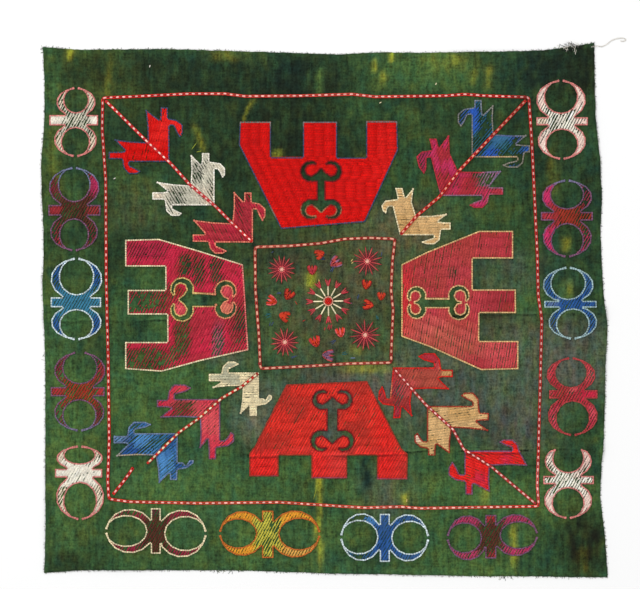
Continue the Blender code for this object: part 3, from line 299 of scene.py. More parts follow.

# Where the green dye took unevenly, in mm: middle, half widths, slope, dye and strength; the thin dusk mark at
# (170, -6) is a painted shade line under the right block's arm, along the middle fold.
DyeMark = namedtuple("DyeMark", "x y half_x half_y slope dye strength")
DYE_MARKS = (
    DyeMark(230, 258, 66, 24, 0.0, "deep", 0.8), DyeMark(-34, 250, 60, 26, 0.0, "deep", 0.8),
    DyeMark(-170, 258, 60, 22, 0.0, "deep", 0.55), DyeMark(100, 256, 66, 24, 0.0, "leaf", 0.45),
    DyeMark(0, 130, 330, 150, 0.0, "dusk", 0.16), DyeMark(-215, 262, 50, 22, 0.0, "dusk", 0.36),
    DyeMark(16, 258, 26, 26, 0.0, "dusk", 0.40), DyeMark(282, 70, 24, 90, 0.0, "dusk", 0.22),
    DyeMark(286, 264, 24, 34, 0.0, "dusk", 0.80), DyeMark(-292, 120, 14, 90, 0.0, "dusk", 0.30),
    DyeMark(-150, 205, 96, 62, 0.0, "dusk", 0.56), DyeMark(-34, 190, 70, 60, 0.0, "dusk", 0.68),
    DyeMark(-100, 126, 40, 34, 0.0, "dusk", 0.50), DyeMark(-250, 110, 50, 74, 0.0, "dusk", 0.36),
    DyeMark(-180, 70, 60, 40, 0.0, "dusk", 0.34), DyeMark(262, 240, 44, 44, 0.0, "dusk", 0.55),
    DyeMark(244, 140, 60, 80, 0.0, "dusk", 0.42), DyeMark(150, 196, 60, 40, 0.0, "dusk", 0.28),
    DyeMark(-60, 70, 60, 30, 0.0, "dusk", 0.26), DyeMark(280, -250, 30, 36, 0.0, "dusk", 0.80),
    # Painted shade: the thin dusk mark at (170, -6) darkens the cloth under the right block's arm along the
    # middle fold.
    DyeMark(262, -140, 44, 34, 0.0, "dusk", 0.26), DyeMark(170, -6, 46, 4, 0.0, "dusk", 0.70),
    DyeMark(-235, 245, 44, 34, 0.0, "olive", 0.22), DyeMark(203, -122, 40, 32, 0.0, "ash", 0.62),
    DyeMark(196, 40, 34, 24, 0.0, "ash", 0.30), DyeMark(196, -18, 36, 14, 0.0, "earth", 0.35),
    DyeMark(260, -52, 60, 42, 0.0, "ash", 0.52), DyeMark(150, -70, 80, 44, 0.0, "ash", 0.36),
    DyeMark(88, 92, 42, 28, 0.0, "fawn", 0.46), DyeMark(62, 50, 40, 50, 0.0, "fawn", 0.26),
    DyeMark(-72, -112, 22, 34, 0.0, "mist", 0.44), DyeMark(40, -84, 80, 22, 0.0, "ash", 0.5),
    DyeMark(86, -100, 30, 50, 0.0, "mist", 0.20), DyeMark(-105, -42, 20, 20, 0.0, "mist", 0.30),
    DyeMark(4, 5, 74, 74, 0.0, "earth", 0.40), DyeMark(-170, -190, 80, 30, 0.0, "leaf", 0.50),
    DyeMark(-280, -150, 20, 130, 0.0, "leaf", 0.55), DyeMark(-60, -250, 130, 30, 0.0, "leaf", 0.25),
    DyeMark(-200, -95, 50, 40, 0.0, "leaf", 0.35), DyeMark(-290, 160, 9, 44, 0.0, "olive", 0.5),
    DyeMark(190, -195, 70, 16, 0.0, "leaf", 0.45), DyeMark(-200, 110, 30, 26, 0.0, "earth", 0.25),
    DyeMark(-60, -190, 40, 26, 0.0, "leaf", 0.30), DyeMark(66, -196, 26, 30, 0.0, "mist", 0.26),
    DyeMark(-188, 40, 16, 9, 0.0, "leaf", 0.30), DyeMark(60, -286, 80, 9, 0.0, "teal", 0.40),
    DyeMark(-278, -271, 36, 13, 0.0, "soil", 0.6), DyeMark(280, -262, 12, 22, 0.0, "soil", 0.5),
    DyeMark(48, -172, 8, 26, 0.0, "deep", 0.8), DyeMark(30, -262, 60, 12, 0.0, "deep", 0.3),
    DyeMark(-271, 275, 3, 8, 0.0, "pale", 0.75), DyeMark(-231, 246, 3, 26, 0.05, "pale", 0.30),
    DyeMark(-106, 274, 16, 7, 0.0, "pale", 0.32), DyeMark(73, 273, 3, 6, 0.0, "pale", 0.9),
    DyeMark(52, 263, 3, 7, 0.0, "pale", 0.7), DyeMark(62, 250, 4, 6, 0.0, "pale", 0.5),
    DyeMark(141, 268, 3, 6, 0.0, "pale", 0.6), DyeMark(159, 251, 3, 8, 0.0, "pale", 0.4),
    DyeMark(178, 250, 3, 12, 0.0, "pale", 0.35), DyeMark(-82, 214, 2, 12, 0.5, "pale", 0.6),
    DyeMark(-50, 168, 4, 5, 0.0, "pale", 0.7), DyeMark(-134, 184, 3, 14, -0.4, "pale", 0.45),
    DyeMark(246, 150, 7, 24, 0.0, "pale", 0.12), DyeMark(260, 70, 5, 8, 0.0, "pale", 0.35),
    DyeMark(264, 22, 5, 12, 0.0, "pale", 0.35), DyeMark(-14, 32, 6, 9, 0.0, "pale", 0.7),
    DyeMark(48, -62, 26, 6, 0.0, "pale", 0.45), DyeMark(-6, -212, 2.6, 58, 0.0, "pale", 0.75),
    DyeMark(172, -194, 4, 18, 0.0, "pale", 0.40), DyeMark(204, -254, 3, 24, 0.0, "pale", 0.7),
    DyeMark(278, -269, 4, 14, 0.0, "pale", 0.25), DyeMark(88, -204, 3, 7, 0.0, "pale", 0.7),
    DyeMark(38, 148, 4, 18, 0.2, "pale", 0.35), DyeMark(34, -44, 6, 5, 0.0, "pale", 0.25),
    DyeMark(6, -124, 18, 30, 0.0, "ash", 0.45), DyeMark(150, -126, 16, 12, 0.0, "ash", 0.35),
    DyeMark(-241, 256, 14, 26, 0.0, "dusk", 0.35), DyeMark(-196, 266, 18, 12, 0.0, "dusk", 0.40),
    DyeMark(-124, 266, 24, 12, 0.0, "dusk", 0.42), DyeMark(-26, 267, 16, 10, 0.0, "dusk", 0.40),
    DyeMark(-4, 245, 4, 16, 0.0, "leaf", 0.60), DyeMark(17, 244, 9, 14, 0.0, "dusk", 0.40),
    DyeMark(132, 267, 30, 12, 0.0, "pale", 0.16), DyeMark(-85, 246, 22, 14, 0.0, "dusk", 0.30),
    DyeMark(-258, 258, 30, 16, 0.0, "dusk", 0.45), DyeMark(-186, 222, 60, 40, 0.0, "dusk", 0.30),
    DyeMark(-20, 176, 40, 50, 0.0, "dusk", 0.30), DyeMark(-212, 60, 50, 30, 0.0, "dusk", 0.24),
    DyeMark(110, -4, 60, 16, 0.0, "dusk", 0.28), DyeMark(-64, 190, 30, 50, 0.0, "dusk", 0.20),
    DyeMark(120, -284, 110, 8, 0.0, "leaf", 0.30), DyeMark(284, -254, 24, 32, 0.0, "soil", 0.55), DyeMark(184, -124, 34, 24, 0.0, "dusk", 0.28),
)


def linear(red, green, blue):
    """A colour as seen on a screen, 0 to 255, turned to linear light."""
    shares = [value / 255 for value in (red, green, blue)]
    return tuple(v / 12.92 if v <= 0.04045 else ((v + 0.055) / 1.055) ** 2.4 for v in shares)


def dye(name, description, red, green, blue):
    return bpy.props.FloatVectorProperty(
        name=name, description=description, default=linear(red, green, blue),
        min=0.0, max=1.0, size=3, subtype="COLOR",
    )


def length_mm(name, description, value):
    return bpy.props.FloatProperty(
        name=name, description=description, default=value * MM, min=0.0,
        subtype="DISTANCE", unit="LENGTH", precision=5,
    )


class SilkDyes(bpy.types.PropertyGroup):
    """The silks, by the name that the tables use."""

    red: dye("Red", "Top block and the outer leaves", 212, 14, 8)
    poppy: dye("Poppy", "Bottom block", 224, 54, 42)
    scarlet: dye("Scarlet", "Brightest red", 230, 40, 35)
    garnet: dye("Garnet", "Dark red between the pale dashes", 122, 24, 30)
    ember: dye("Ember", "Hearts of the buds", 192, 54, 28)
    cord: dye("Cord red", "Sides of the cords", 210, 34, 26)
    crimson: dye("Crimson", "Left block", 206, 44, 74)
    rose: dye("Rose", "Right block and the rose leaves", 180, 50, 62)
    coral: dye("Coral", "Paler patches of the rose fields", 222, 92, 98)
    salmon: dye("Salmon", "Edges of the third leaf pair", 226, 132, 108)
    peach: dye("Peach", "Dashes of the inner square", 222, 160, 136)
    wine: dye("Wine", "Dark ring horns", 112, 34, 62)
    plum: dye("Plum", "Darkest violet", 88, 30, 62)
    mauve: dye("Mauve", "Edges of the dark ring horns", 150, 84, 120)
    pink: dye("Pink", "Pink ring horns", 204, 54, 108)
    blush: dye("Blush", "Pale ring horns", 238, 214, 202)
    shell: dye("Shell", "Dashes of the cords", 240, 186, 178)
    russet: dye("Russet", "Darker patches of the bottom block", 188, 54, 42)
    pearl: dye("Pearl", "Whitish leaves", 206, 202, 184)
    lagoon: dye("Lagoon", "Waist of the left blue ring horn", 62, 128, 158)
    denim: dye("Denim", "Dull blue fields", 56, 96, 146)
    frost: dye("Frost", "Duller edges of blue ring horns", 160, 186, 188)
    damson: dye("Damson", "Bottom left ring horn", 148, 40, 64)
    orchid: dye("Orchid", "Bottom right ring horn", 178, 58, 98)
    amber: dye("Amber", "Edges of the yellow ring horn", 190, 104, 44)
    lemon: dye("Lemon", "Waist of the yellow ring horn", 198, 190, 74)
    petal: dye("Petal", "Edges of the pale ring horns", 208, 128, 122)
    heather: dye("Heather", "Dull violet edges", 122, 84, 112)
    bramble: dye("Bramble", "Brownish violet fields", 124, 44, 54)
    rosewood: dye("Rosewood", "Rays of the small stars", 172, 66, 66)
    bone: dye("Bone", "Pale ring horns", 226, 210, 188)
    azure: dye("Azure", "Bright blue", 48, 96, 186)
    putty: dye("Putty", "Thin greyish edges", 132, 128, 116)
    white: dye("White", "Waists of the pale ring horns", 238, 232, 218)
    cream: dye("Cream", "Cream leaves", 230, 216, 178)
    ash: dye("Ash", "Greyer patches of the cream leaves", 178, 178, 154)
    sand: dye("Sand", "Darker patches of the tan leaves", 206, 166, 106)
    tan: dye("Tan", "Tan leaves and the right block's edge", 218, 182, 128)
    straw: dye("Straw", "Edge of the left block's figure", 210, 182, 114)
    gold: dye("Gold", "Yellow ring horn", 226, 160, 50)
    blue: dye("Blue", "Blue leaves and ring horns", 44, 90, 152)
    sky: dye("Sky", "Lighter blue", 88, 148, 200)
    navy: dye("Navy", "Waists of the blue ring horns", 30, 56, 100)
    ice: dye("Ice", "Edges of the blue ring horns", 206, 220, 222)
    steel: dye("Steel", "Thin grey-blue edges", 112, 130, 160)
    slate: dye("Slate", "Dark grey-blue stitches", 62, 76, 104)
    teal: dye("Teal", "Blue-green stitches", 40, 92, 96)
    brick: dye("Brick", "Rust red", 160, 54, 38)
    bark: dye("Bark", "Brown of the worn fields", 92, 46, 36)
    soot: dye("Soot", "Nearly black threads", 30, 30, 30)
    moss: dye("Moss", "Yellow-green stitches", 134, 144, 48)


class ClothDyes(bpy.types.PropertyGroup):
    """The ground cloth's colours and threads."""

    ground: dye("Ground", "Middle green of the cloth", 52, 82, 46)
    deep: dye("Deep", "Darkest blue-green of the dye", 20, 40, 34)
    leaf: dye("Leaf", "Lighter green", 80, 112, 56)
    teal: dye("Teal", "Bluer green", 32, 80, 66)
    olive: dye("Olive", "Yellower green", 92, 104, 40)
    pale: dye("Pale", "Yellow-green where the dye is thin", 156, 156, 44)
    ash: dye("Ash", "Greyish wash", 92, 86, 84)
    mist: dye("Mist", "Paler grey wash", 120, 112, 100)
    fawn: dye("Fawn", "Pale brownish wash", 104, 92, 68)
    earth: dye("Earth", "Brownish wash", 88, 72, 54)
    dusk: dye("Dusk", "Darkest green, nearly black", 24, 34, 22)
    soil: dye("Soil", "Nearly black stain", 26, 26, 16)
    grain: length_mm("Grain", "Size of the cells that the cloth is drawn in", 3.1)
    thickness: length_mm("Thickness", "Thickness of the cloth", 1.15)
    fray_length: length_mm("Fray length", "Longest of the frayed ends at the edges", 2.4)


class StitchSizes(bpy.types.PropertyGroup):
    """Sizes of the threads and stitches."""

    thread_spacing: length_mm("Thread spacing", "Distance between laid threads", 0.92)
    thread_width: length_mm("Thread width", "Width of a laid thread", 1.02)
    thread_height: length_mm("Thread height", "Height of a laid thread", 0.9)
    couching_pitch: length_mm("Couching pitch", "Distance between the couching rows", 3.9)
    chain_length: length_mm("Chain length", "Length of a chain stitch", 2.6)
    chain_width: length_mm("Chain width", "Width of a chain stitch", 1.4)


def silk(name):
    return np.array(getattr(bpy.context.scene.panel_silks, name)[:])


def deselect_all():
    if bpy.context.mode != "OBJECT":
        bpy.ops.object.mode_set(mode="OBJECT")
    bpy.ops.object.select_all(action="DESELECT")


def noise(x, y, seed):
    """Smooth seeded noise from 0 to 1 over arrays of places counted in its own cells."""
    table = np.random.default_rng(seed).random((64, 64))
    column, row = np.floor(x).astype(int), np.floor(y).astype(int)
    across, up = x - column, y - row
    across, up = across * across * (3 - 2 * across), up * up * (3 - 2 * up)
    low = table[row % 64, column % 64] * (1 - across) + table[row % 64, (column + 1) % 64] * across
    top = (row + 1) % 64
    high = table[top, column % 64] * (1 - across) + table[top, (column + 1) % 64] * across
    return low * (1 - up) + high * up


def modelled_stitch(add, shape):
    """One stitch modelled from a primitive, one unit long, wide and high, as (corners, faces)."""
    deselect_all()
    add()
    piece = bpy.context.object
    bpy.ops.object.mode_set(mode="EDIT")
    bpy.ops.mesh.select_all(action="SELECT")
    shape()
    bpy.ops.mesh.quads_convert_to_tris()
    bpy.ops.mesh.normals_make_consistent(inside=False)
    bpy.ops.object.mode_set(mode="OBJECT")
    corners = np.array([vertex.co[:] for vertex in piece.data.vertices])
    low, high = corners.min(0), corners.max(0)
    corners = (corners - (low + high) / 2) / (high - low)
    faces = np.array([face.vertices[:] for face in piece.data.polygons])
    bpy.data.objects.remove(piece, do_unlink=True)
    return corners, faces


def grain_stitch(sides):
    """A plump single stitch with pointed ends."""

    def add():
        bpy.ops.mesh.primitive_uv_sphere_add(segments=sides, ring_count=3, radius=0.5)

    def shape():
        bpy.ops.transform.rotate(value=math.pi / 2, orient_axis="Y", center_override=(0, 0, 0))
        bpy.ops.transform.resize(value=(1.0, 0.4, 0.4))

    return modelled_stitch(add, shape)


def strand_stitch(sides):
    """A length of thread."""

    def add():
        bpy.ops.mesh.primitive_cylinder_add(vertices=sides, radius=0.5, depth=1.0)

    def shape():
        bpy.ops.transform.rotate(value=math.pi / 2, orient_axis="Y", center_override=(0, 0, 0))

    return modelled_stitch(add, shape)


def chain_stitch():
    """Two grains that lean together, as the two legs of a chain stitch do."""
    corners, faces = grain_stitch(5)
    made = []
    for side in (1, -1):
        leg = corners * (1.0, 0.56, 1.0)
        turn = side * math.radians(15)
        cos, sin = math.cos(turn), math.sin(turn)
        x, y = leg[:, 0] * cos - leg[:, 1] * sin, leg[:, 0] * sin + leg[:, 1] * cos
        made.append(np.stack([x, y + side * 0.24, leg[:, 2]], 1))
    return np.concatenate(made), np.concatenate([faces, faces + len(corners)])


class Stitchery:
    """Copies of the modelled stitches, gathered into one mesh with a colour for each copy."""

    def __init__(self):
        self.corners = []
        self.faces = []
        self.colours = []
        self.count = 0

    def lay(self, stitch, middles, directions, sizes, colours):
        """Adds one copy per row: its middle, its direction, its size and its colour."""
        middles, directions = np.asarray(middles, float), np.asarray(directions, float)
        sizes, colours = np.asarray(sizes, float), np.asarray(colours, float)
        if not len(middles):
            return
        corners, faces = stitch
        ahead = directions / np.linalg.norm(directions, axis=1, keepdims=True)
        side = np.cross((0.0, 0.0, 1.0), ahead)
        side /= np.linalg.norm(side, axis=1, keepdims=True)
        up = np.cross(ahead, side)
        local = corners[None] * sizes[:, None]
        placed = middles[:, None] + sum(
            local[:, :, axis, None] * way[:, None] for axis, way in enumerate((ahead, side, up))
        )
        starts = self.count + len(corners) * np.arange(len(middles))
        self.corners.append(placed.reshape(-1, 3))
        self.faces.append((faces[None] + starts[:, None, None]).reshape(-1, 3))
        self.colours.append(np.repeat(colours, len(corners), axis=0))
        self.count += len(corners) * len(middles)

    def piece(self, name, material):
        """The gathered stitches as one object. Their places are in millimetres."""
        corners = np.concatenate(self.corners) * MM
        faces = np.concatenate(self.faces)
        colours = np.concatenate(self.colours)
        mesh = bpy.data.meshes.new(name)
        mesh.vertices.add(len(corners))
        mesh.vertices.foreach_set("co", corners.ravel())
        mesh.loops.add(faces.size)
        mesh.loops.foreach_set("vertex_index", faces.ravel().astype(np.int32))
        mesh.polygons.add(len(faces))
        mesh.polygons.foreach_set("loop_start", np.arange(0, faces.size, 3, dtype=np.int32))
        mesh.update(calc_edges=True)
        layer = mesh.color_attributes.new(name="thread", type="FLOAT_COLOR", domain="POINT")
        layer.data.foreach_set("color", np.c_[colours, np.ones(len(colours))].ravel())
        mesh.shade_smooth()
        mesh.materials.append(material)
        piece = bpy.data.objects.new(name, mesh)
        bpy.context.scene.collection.objects.link(piece)
        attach(piece, "root")
        return piece


def top_of(node, steepest):
    """The upper side of a solid, as a merged mesh's faces that look up."""
    merged = bmesh.new()
    merged.from_mesh(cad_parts[node].data)
    bmesh.ops.remove_doubles(merged, verts=merged.verts, dist=0.000001)
    merged.normal_update()
    merged.faces.ensure_lookup_table()
    return merged, [face for face in merged.faces if face.normal.z > steepest]


def rims_of(node, steepest=0.7):
    """The outline of a solid's upper side, as closed loops of places in millimetres."""
    merged, tops = top_of(node, steepest)
    inside = set(tops)
    following = {}
    for face in tops:
        for loop in face.loops:
            if sum(other in inside for other in loop.edge.link_faces) == 1:
                following[loop.vert.index] = loop.link_loop_next.vert.index
    merged.verts.ensure_lookup_table()
    rims = []
    while following:
        start, here = following.popitem()
        rim = [start]
        while here != start:
            rim.append(here)
            here = following.pop(here)
        rims.append(np.array([merged.verts[index].co[:] for index in rim]) / MM)
    merged.free()
    return rims


def surface_of(node, steepest=0.7):
    """A tree of a solid's upper side, for reading its height."""
    merged, tops = top_of(node, steepest)
    points = [vertex.co.copy() for vertex in merged.verts]
    tree = BVHTree.FromPolygons(points, [[v.index for v in face.verts] for face in tops])
    merged.free()
    return tree


def heights(tree, places):
    """Height of the upper side below each place, in millimetres."""
    found = []
    for x, y in places:
        start = Vector((x * MM, y * MM, 0.05))
        hit = tree.ray_cast(start, Vector((0, 0, -1)))[0]
        if hit is None:
            hit = tree.find_nearest(Vector((x * MM, y * MM, 0.002)))[0]
        found.append(hit.z / MM)
    return np.array(found)


def laid_lines(rims, slope, spacing, inset):
    """Straight lines over a field at one slope, cut to its outline."""
    turn = math.radians(slope)
    ahead = np.array([math.cos(turn), math.sin(turn)])
    across = np.array([-ahead[1], ahead[0]])
    edges = []
    for rim in rims:
        flat = np.stack([rim[:, :2] @ ahead, rim[:, :2] @ across], 1)
        edges.append(np.hstack([flat, np.roll(flat, -1, axis=0)]))
    edges = np.concatenate(edges)
    low, high = edges[:, 1].min(), edges[:, 1].max()
    lines = []
    for level in np.arange(low + spacing * 0.5, high, spacing):
        spans = (edges[:, 1] > level) != (edges[:, 3] > level)
        u0, v0, u1, v1 = edges[spans].T
        places = np.sort(u0 + (level - v0) * (u1 - u0) / (v1 - v0))
        for start, end in zip(places[::2], places[1::2]):
            if end - start > 2 * inset + 0.6:
                lines.append((level, start + inset, end - inset))
    return lines, ahead, across


def patches_of(table, node, x, y):
    """The rows of a table for a field, each with its strength at each place."""
    found = []
    wander = 5.0 * (noise(x / 6, y / 6, 31) - 0.5)
    for row in table:
        if row.node == node:
            over = ((x - row.x + wander) / row.half_x) ** 2
            up = ((y - row.y + min(1.0, row.half_y / 6) * wander) / row.half_y) ** 2
            found.append((row, np.exp(-np.clip(over, 0, 9) ** 2 - np.clip(up, 0, 9) ** 2)))
    return found


def waist_share(style, x, y):
    """How near each place is to the waist of a ring horn, from 0 to 1."""
    upright = not style.node.startswith("ring_bottom")
    away = np.abs(y - style.middle[1]) if upright else np.abs(x - style.middle[0])
    return np.clip((15.0 + 4.0 * noise(x / 8, y / 8, 32) - away) / 5.0, 0, 1)


def worn_share(style, x, y):
    """The share of the threads that has gone at each place, more in slanting streaks."""
    turn = math.radians(66)
    along = x * math.cos(turn) + y * math.sin(turn)
    over = -x * math.sin(turn) + y * math.cos(turn)
    seed = sum(map(ord, style.node))
    share = style.worn * (0.35 + 1.3 * noise(along / 24 + seed, over / 6.5, seed))
    if style.node.startswith("ring"):
        waist = waist_share(style, x, y)
        share = share * (1 - waist) + style.waist * waist * (0.7 + 0.6 * noise(x / 9, y / 9, seed))
    for row, strength in patches_of(PATCHES, style.node, x, y):
        share = share + row.worn * strength
    return share


def thread_kept(style, number, x, y):
    """Whether a line's thread is still there at each place: one in each three goes first."""
    weakness = (0.14, 0.48, 0.80)[number % 3]
    ragged = 0.36 * (noise(x / 2.6, y / 2.6, number % 97) - 0.5)
    uneven = 0.40 * (noise(x / 12, y / 12, number % 89 + 100) - 0.5)
    return worn_share(style, x, y) < weakness + ragged + uneven + 0.04


def silk_shown(style, x, y):
    """The silk that each place of a field is worked in, from its two silks and its patches."""
    seed = sum(map(ord, style.node)) + 7
    spread = noise(x / 14 + seed, y / 14, seed)
    if style.where == "waist":
        share = waist_share(style, x, y)
    elif style.where == "right":
        share = np.clip((x - style.middle[0]) / 8 + spread, 0, 1)
    else:
        share = np.clip((spread - 0.42) * 2.6, 0, 0.85)
    shown = silk(style.fill) * (1 - share[:, None]) + silk(style.second) * share[:, None]
    for row, strength in patches_of(PATCHES, style.node, x, y):
        mixture = (row.share * strength)[:, None]
        shown = shown * (1 - mixture) + silk(row.silk) * mixture
    return shown


def runs_kept(stops, kept, longest):
    """The stretches of a line where its thread is still there, none much over the longest."""
    runs = []
    begun = None
    for index, here in enumerate(kept):
        if here and begun is None:
            begun = stops[index]
        if begun is None:
            continue
        last = index + 1 == len(kept) or not kept[index + 1]
        if not here or last or stops[index + 1] - begun >= longest:
            runs.append((begun, stops[index + 1] if here else stops[index]))
            begun = None
    return runs


def fill_field(work, stitches, style, rims, tree):
    """Laid threads with rows of couching across them, left out where the field is worn."""
    sizes = bpy.context.scene.panel_stitches
    width, height = sizes.thread_width / MM, sizes.thread_height / MM
    lines, ahead, across = laid_lines(rims, style.lay, sizes.thread_spacing / MM, 0.6)
    chance = np.random.default_rng(sum(map(ord, style.node)))
    strands, ticks = [], []
    pitch = sizes.couching_pitch / MM
    for number, (level, start, end) in enumerate(lines):
        step = round(level / (sizes.thread_spacing / MM))
        count = max(1, round((end - start) / 2.2))
        stops = np.linspace(start, end, count + 1)
        middles = (stops[1:] + stops[:-1]) / 2
        places = middles[:, None] * ahead + level * across
        kept = thread_kept(style, step, places[:, 0], places[:, 1])
        kept |= chance.random(count) < 0.03
        for begun, ended in runs_kept(stops, kept, 10.5):
            strands.append((level, begun, ended, step % 3 == 0))
        offset = (level * 0.62 + 1.8 * chance.random()) % pitch
        first = math.ceil((start - offset) / pitch)
        for place in np.arange(first * pitch + offset, end, pitch) if number % 2 else ():
            if kept[min(count - 1, int((place - start) / (end - start) * count))]:
                ticks.append((level, place))
    if strands:
        levels, starts, ends, striped = np.array(strands, float).T
        first = starts[:, None] * ahead + levels[:, None] * across
        last = ends[:, None] * ahead + levels[:, None] * across
        z0, z1 = heights(tree, first), heights(tree, last)
        middles = np.c_[(first + last) / 2, (z0 + z1) / 2 + 0.06 - height / 2]
        middles[:, 2] += chance.normal(0, 0.035, len(middles)) - 0.12 * striped
        directions = np.c_[last - first, z1 - z0]
        spans = np.linalg.norm(directions, axis=1) + 0.25
        scale = np.stack([spans, np.full(len(spans), width), np.full(len(spans), height)], 1)
        colours = silk_shown(style, middles[:, 0], middles[:, 1])
        shade = chance.normal(1.10, 0.12, len(colours)) * (1 - style.stripe * striped)
        work.lay(stitches["strand"], middles, directions, scale,
                 np.clip(colours * shade[:, None], 0, 1))
    if ticks:
        levels, spots = np.array(ticks).T
        flat = spots[:, None] * ahead + levels[:, None] * across
        middles = np.c_[flat, heights(tree, flat) + 0.08]
        lean = ahead * math.cos(1.05) + across * math.sin(1.05)
        directions = np.tile([*lean, 0.0], (len(middles), 1))
        scale = np.tile([2.4, 0.6, 0.5], (len(middles), 1))
        colours = silk_shown(style, flat[:, 0], flat[:, 1]) * chance.normal(1.0, 0.16, (len(flat), 1))
        work.lay(stitches["tick"], middles, directions, scale, np.clip(colours, 0, 1))


def edge_field(work, stitches, rims, node, edges, width_share=1.0):
    """Chain stitch all round a field, just inside its outline, and round the figure in it."""
    sizes = bpy.context.scene.panel_stitches
    length = sizes.chain_length / MM
    width = sizes.chain_width / MM * width_share
    chance = np.random.default_rng(sum(map(ord, node)) + 3)
    widest = max(rims, key=lambda rim: np.ptp(rim[:, 0]))
    for rim in rims:
        middles, directions, scale = [], [], []
        for start, end in zip(rim, np.roll(rim, -1, axis=0)):
            way = end - start
            span = float(np.linalg.norm(way[:2]))
            if span < 0.2:
                continue
            count = max(1, round(span / length))
            inward = np.array([-way[1], way[0]]) / span
            for index in range(count):
                place = start + way * (index + 0.5) / count
                middles.append([*(place[:2] + inward * width * 0.42), place[2] - 0.12])
                directions.append(way)
                scale.append([span / count * 1.22, width, 1.1])
        middles = np.array(middles)
        colours = np.tile(silk(edges[0] if rim is widest else edges[-1]), (len(middles), 1))
        for row, strength in patches_of(EDGE_PATCHES, node, middles[:, 0], middles[:, 1]):
            mixture = (row.share * strength)[:, None]
            colours = colours * (1 - mixture) + silk(row.silk) * mixture
        colours = colours * chance.normal(1.0, 0.14, (len(middles), 1))
        work.lay(stitches["chain"], middles, directions, scale, np.clip(colours, 0, 1))


def dress_field(style, stitches, material):
    """One embroidered field: its laid silk, its couching and its chain-stitched edge."""
    rims = rims_of(style.node)
    tree = surface_of(style.node)
    work = Stitchery()
    fill_field(work, stitches, style, rims, tree)
    edges = (style.outline, FIGURE_EDGES.get(style.node, style.outline))
    edge_field(work, stitches, rims, style.node, edges)
    piece = work.piece(style.node + "_silk", material)
    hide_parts(style.node)
    return piece


def all_stitches():
    return {"grain": grain_stitch(6), "tick": grain_stitch(4), "chain": chain_stitch(),
            "strand": strand_stitch(4), "fibre": strand_stitch(3)}


def shader_of(name, roughness):
    """A new node material and its shader."""
    material = bpy.data.materials.new(name)
    material.use_nodes = True
    shader = material.node_tree.nodes["Principled BSDF"]
    shader.inputs["Roughness"].default_value = roughness
    return material, material.node_tree.nodes, material.node_tree.links, shader


def silk_material():
    """Silk thread: its own colour, with lighter and darker filaments, a soft sheen, and a painted highlight
    line and a painted shade line along the lower crease.
    """
    if "laid_silk" in bpy.data.materials:
        return bpy.data.materials["laid_silk"]
    material, nodes, links, shader = shader_of("laid_silk", 0.5)
    shader.inputs["Sheen Weight"].default_value = 0.03
    shader.inputs["Sheen Roughness"].default_value = 0.4
    shader.inputs["Specular IOR Level"].default_value = 0.13
    colour = nodes.new("ShaderNodeAttribute")
    colour.attribute_name = "thread"
    place = nodes.new("ShaderNodeTexCoord")
    filaments = nodes.new("ShaderNodeTexNoise")
    filaments.inputs["Scale"].default_value = 900.0
    filaments.inputs["Detail"].default_value = 3.0
    links.new(place.outputs["Object"], filaments.inputs["Vector"])
    wear = nodes.new("ShaderNodeMapRange")
    wear.inputs["From Min"].default_value = 0.3
    wear.inputs["From Max"].default_value = 0.7
    wear.inputs["To Min"].default_value = 0.72
    wear.inputs["To Max"].default_value = 1.24
    links.new(filaments.outputs["Fac"], wear.inputs["Value"])
    # Painted light at the lower crease: a painted highlight line 1.4 mm below it and a painted shade line 4.2
    # mm below it, lightening and darkening the silk.
    painted_crease_highlight = crease_shading_line(nodes, links, place.outputs["Object"], PAINTED_CREASE_LINES[1], -1.4)
    painted_crease_shade = crease_shading_line(nodes, links, place.outputs["Object"], PAINTED_CREASE_LINES[1], -4.2)
    filament_tone_and_crease_highlight = weighed(nodes, links, painted_crease_highlight, 0.30, wear.outputs["Result"])
    tint = nodes.new("ShaderNodeVectorMath")
    tint.operation = "SCALE"
    links.new(colour.outputs["Color"], tint.inputs[0])
    links.new(weighed(nodes, links, painted_crease_shade, -0.5, filament_tone_and_crease_highlight), tint.inputs["Scale"])
    links.new(tint.outputs["Vector"], shader.inputs["Base Color"])
    bump = nodes.new("ShaderNodeBump")
    bump.inputs["Strength"].default_value = 0.35
    bump.inputs["Distance"].default_value = 0.0002
    links.new(filaments.outputs["Fac"], bump.inputs["Height"])
    links.new(bump.outputs["Normal"], shader.inputs["Normal"])
    return material


def core_material():
    """The dark red core of the cords, under their stitches."""
    material, nodes, links, shader = shader_of("cord_core", 0.7)
    shader.inputs["Specular IOR Level"].default_value = 0.15
    place = nodes.new("ShaderNodeTexCoord")
    grain = nodes.new("ShaderNodeTexNoise")
    grain.inputs["Scale"].default_value = 700.0
    links.new(place.outputs["Object"], grain.inputs["Vector"])
    ramp = nodes.new("ShaderNodeValToRGB")
    ramp.color_ramp.elements[0].color = (*linear(92, 20, 20), 1.0)
    ramp.color_ramp.elements[1].color = (*linear(178, 40, 34), 1.0)
    links.new(grain.outputs["Fac"], ramp.inputs["Fac"])
    links.new(ramp.outputs["Color"], shader.inputs["Base Color"])
    bump = nodes.new("ShaderNodeBump")
    bump.inputs["Strength"].default_value = 0.5
    bump.inputs["Distance"].default_value = 0.0003
    links.new(grain.outputs["Fac"], bump.inputs["Height"])
    links.new(bump.outputs["Normal"], shader.inputs["Normal"])
    return material


def mixed(nodes, links, share, first, second):
    """The first colour, with the second mixed in by a share. Either may be a socket."""
    mix = nodes.new("ShaderNodeMix")
    mix.data_type = "RGBA"
    links.new(share, mix.inputs[0])
    for value, socket in ((first, mix.inputs[6]), (second, mix.inputs[7])):
        if isinstance(value, tuple):
            socket.default_value = (*value, 1.0)
        else:
            links.new(value, socket)
    return mix.outputs[2]


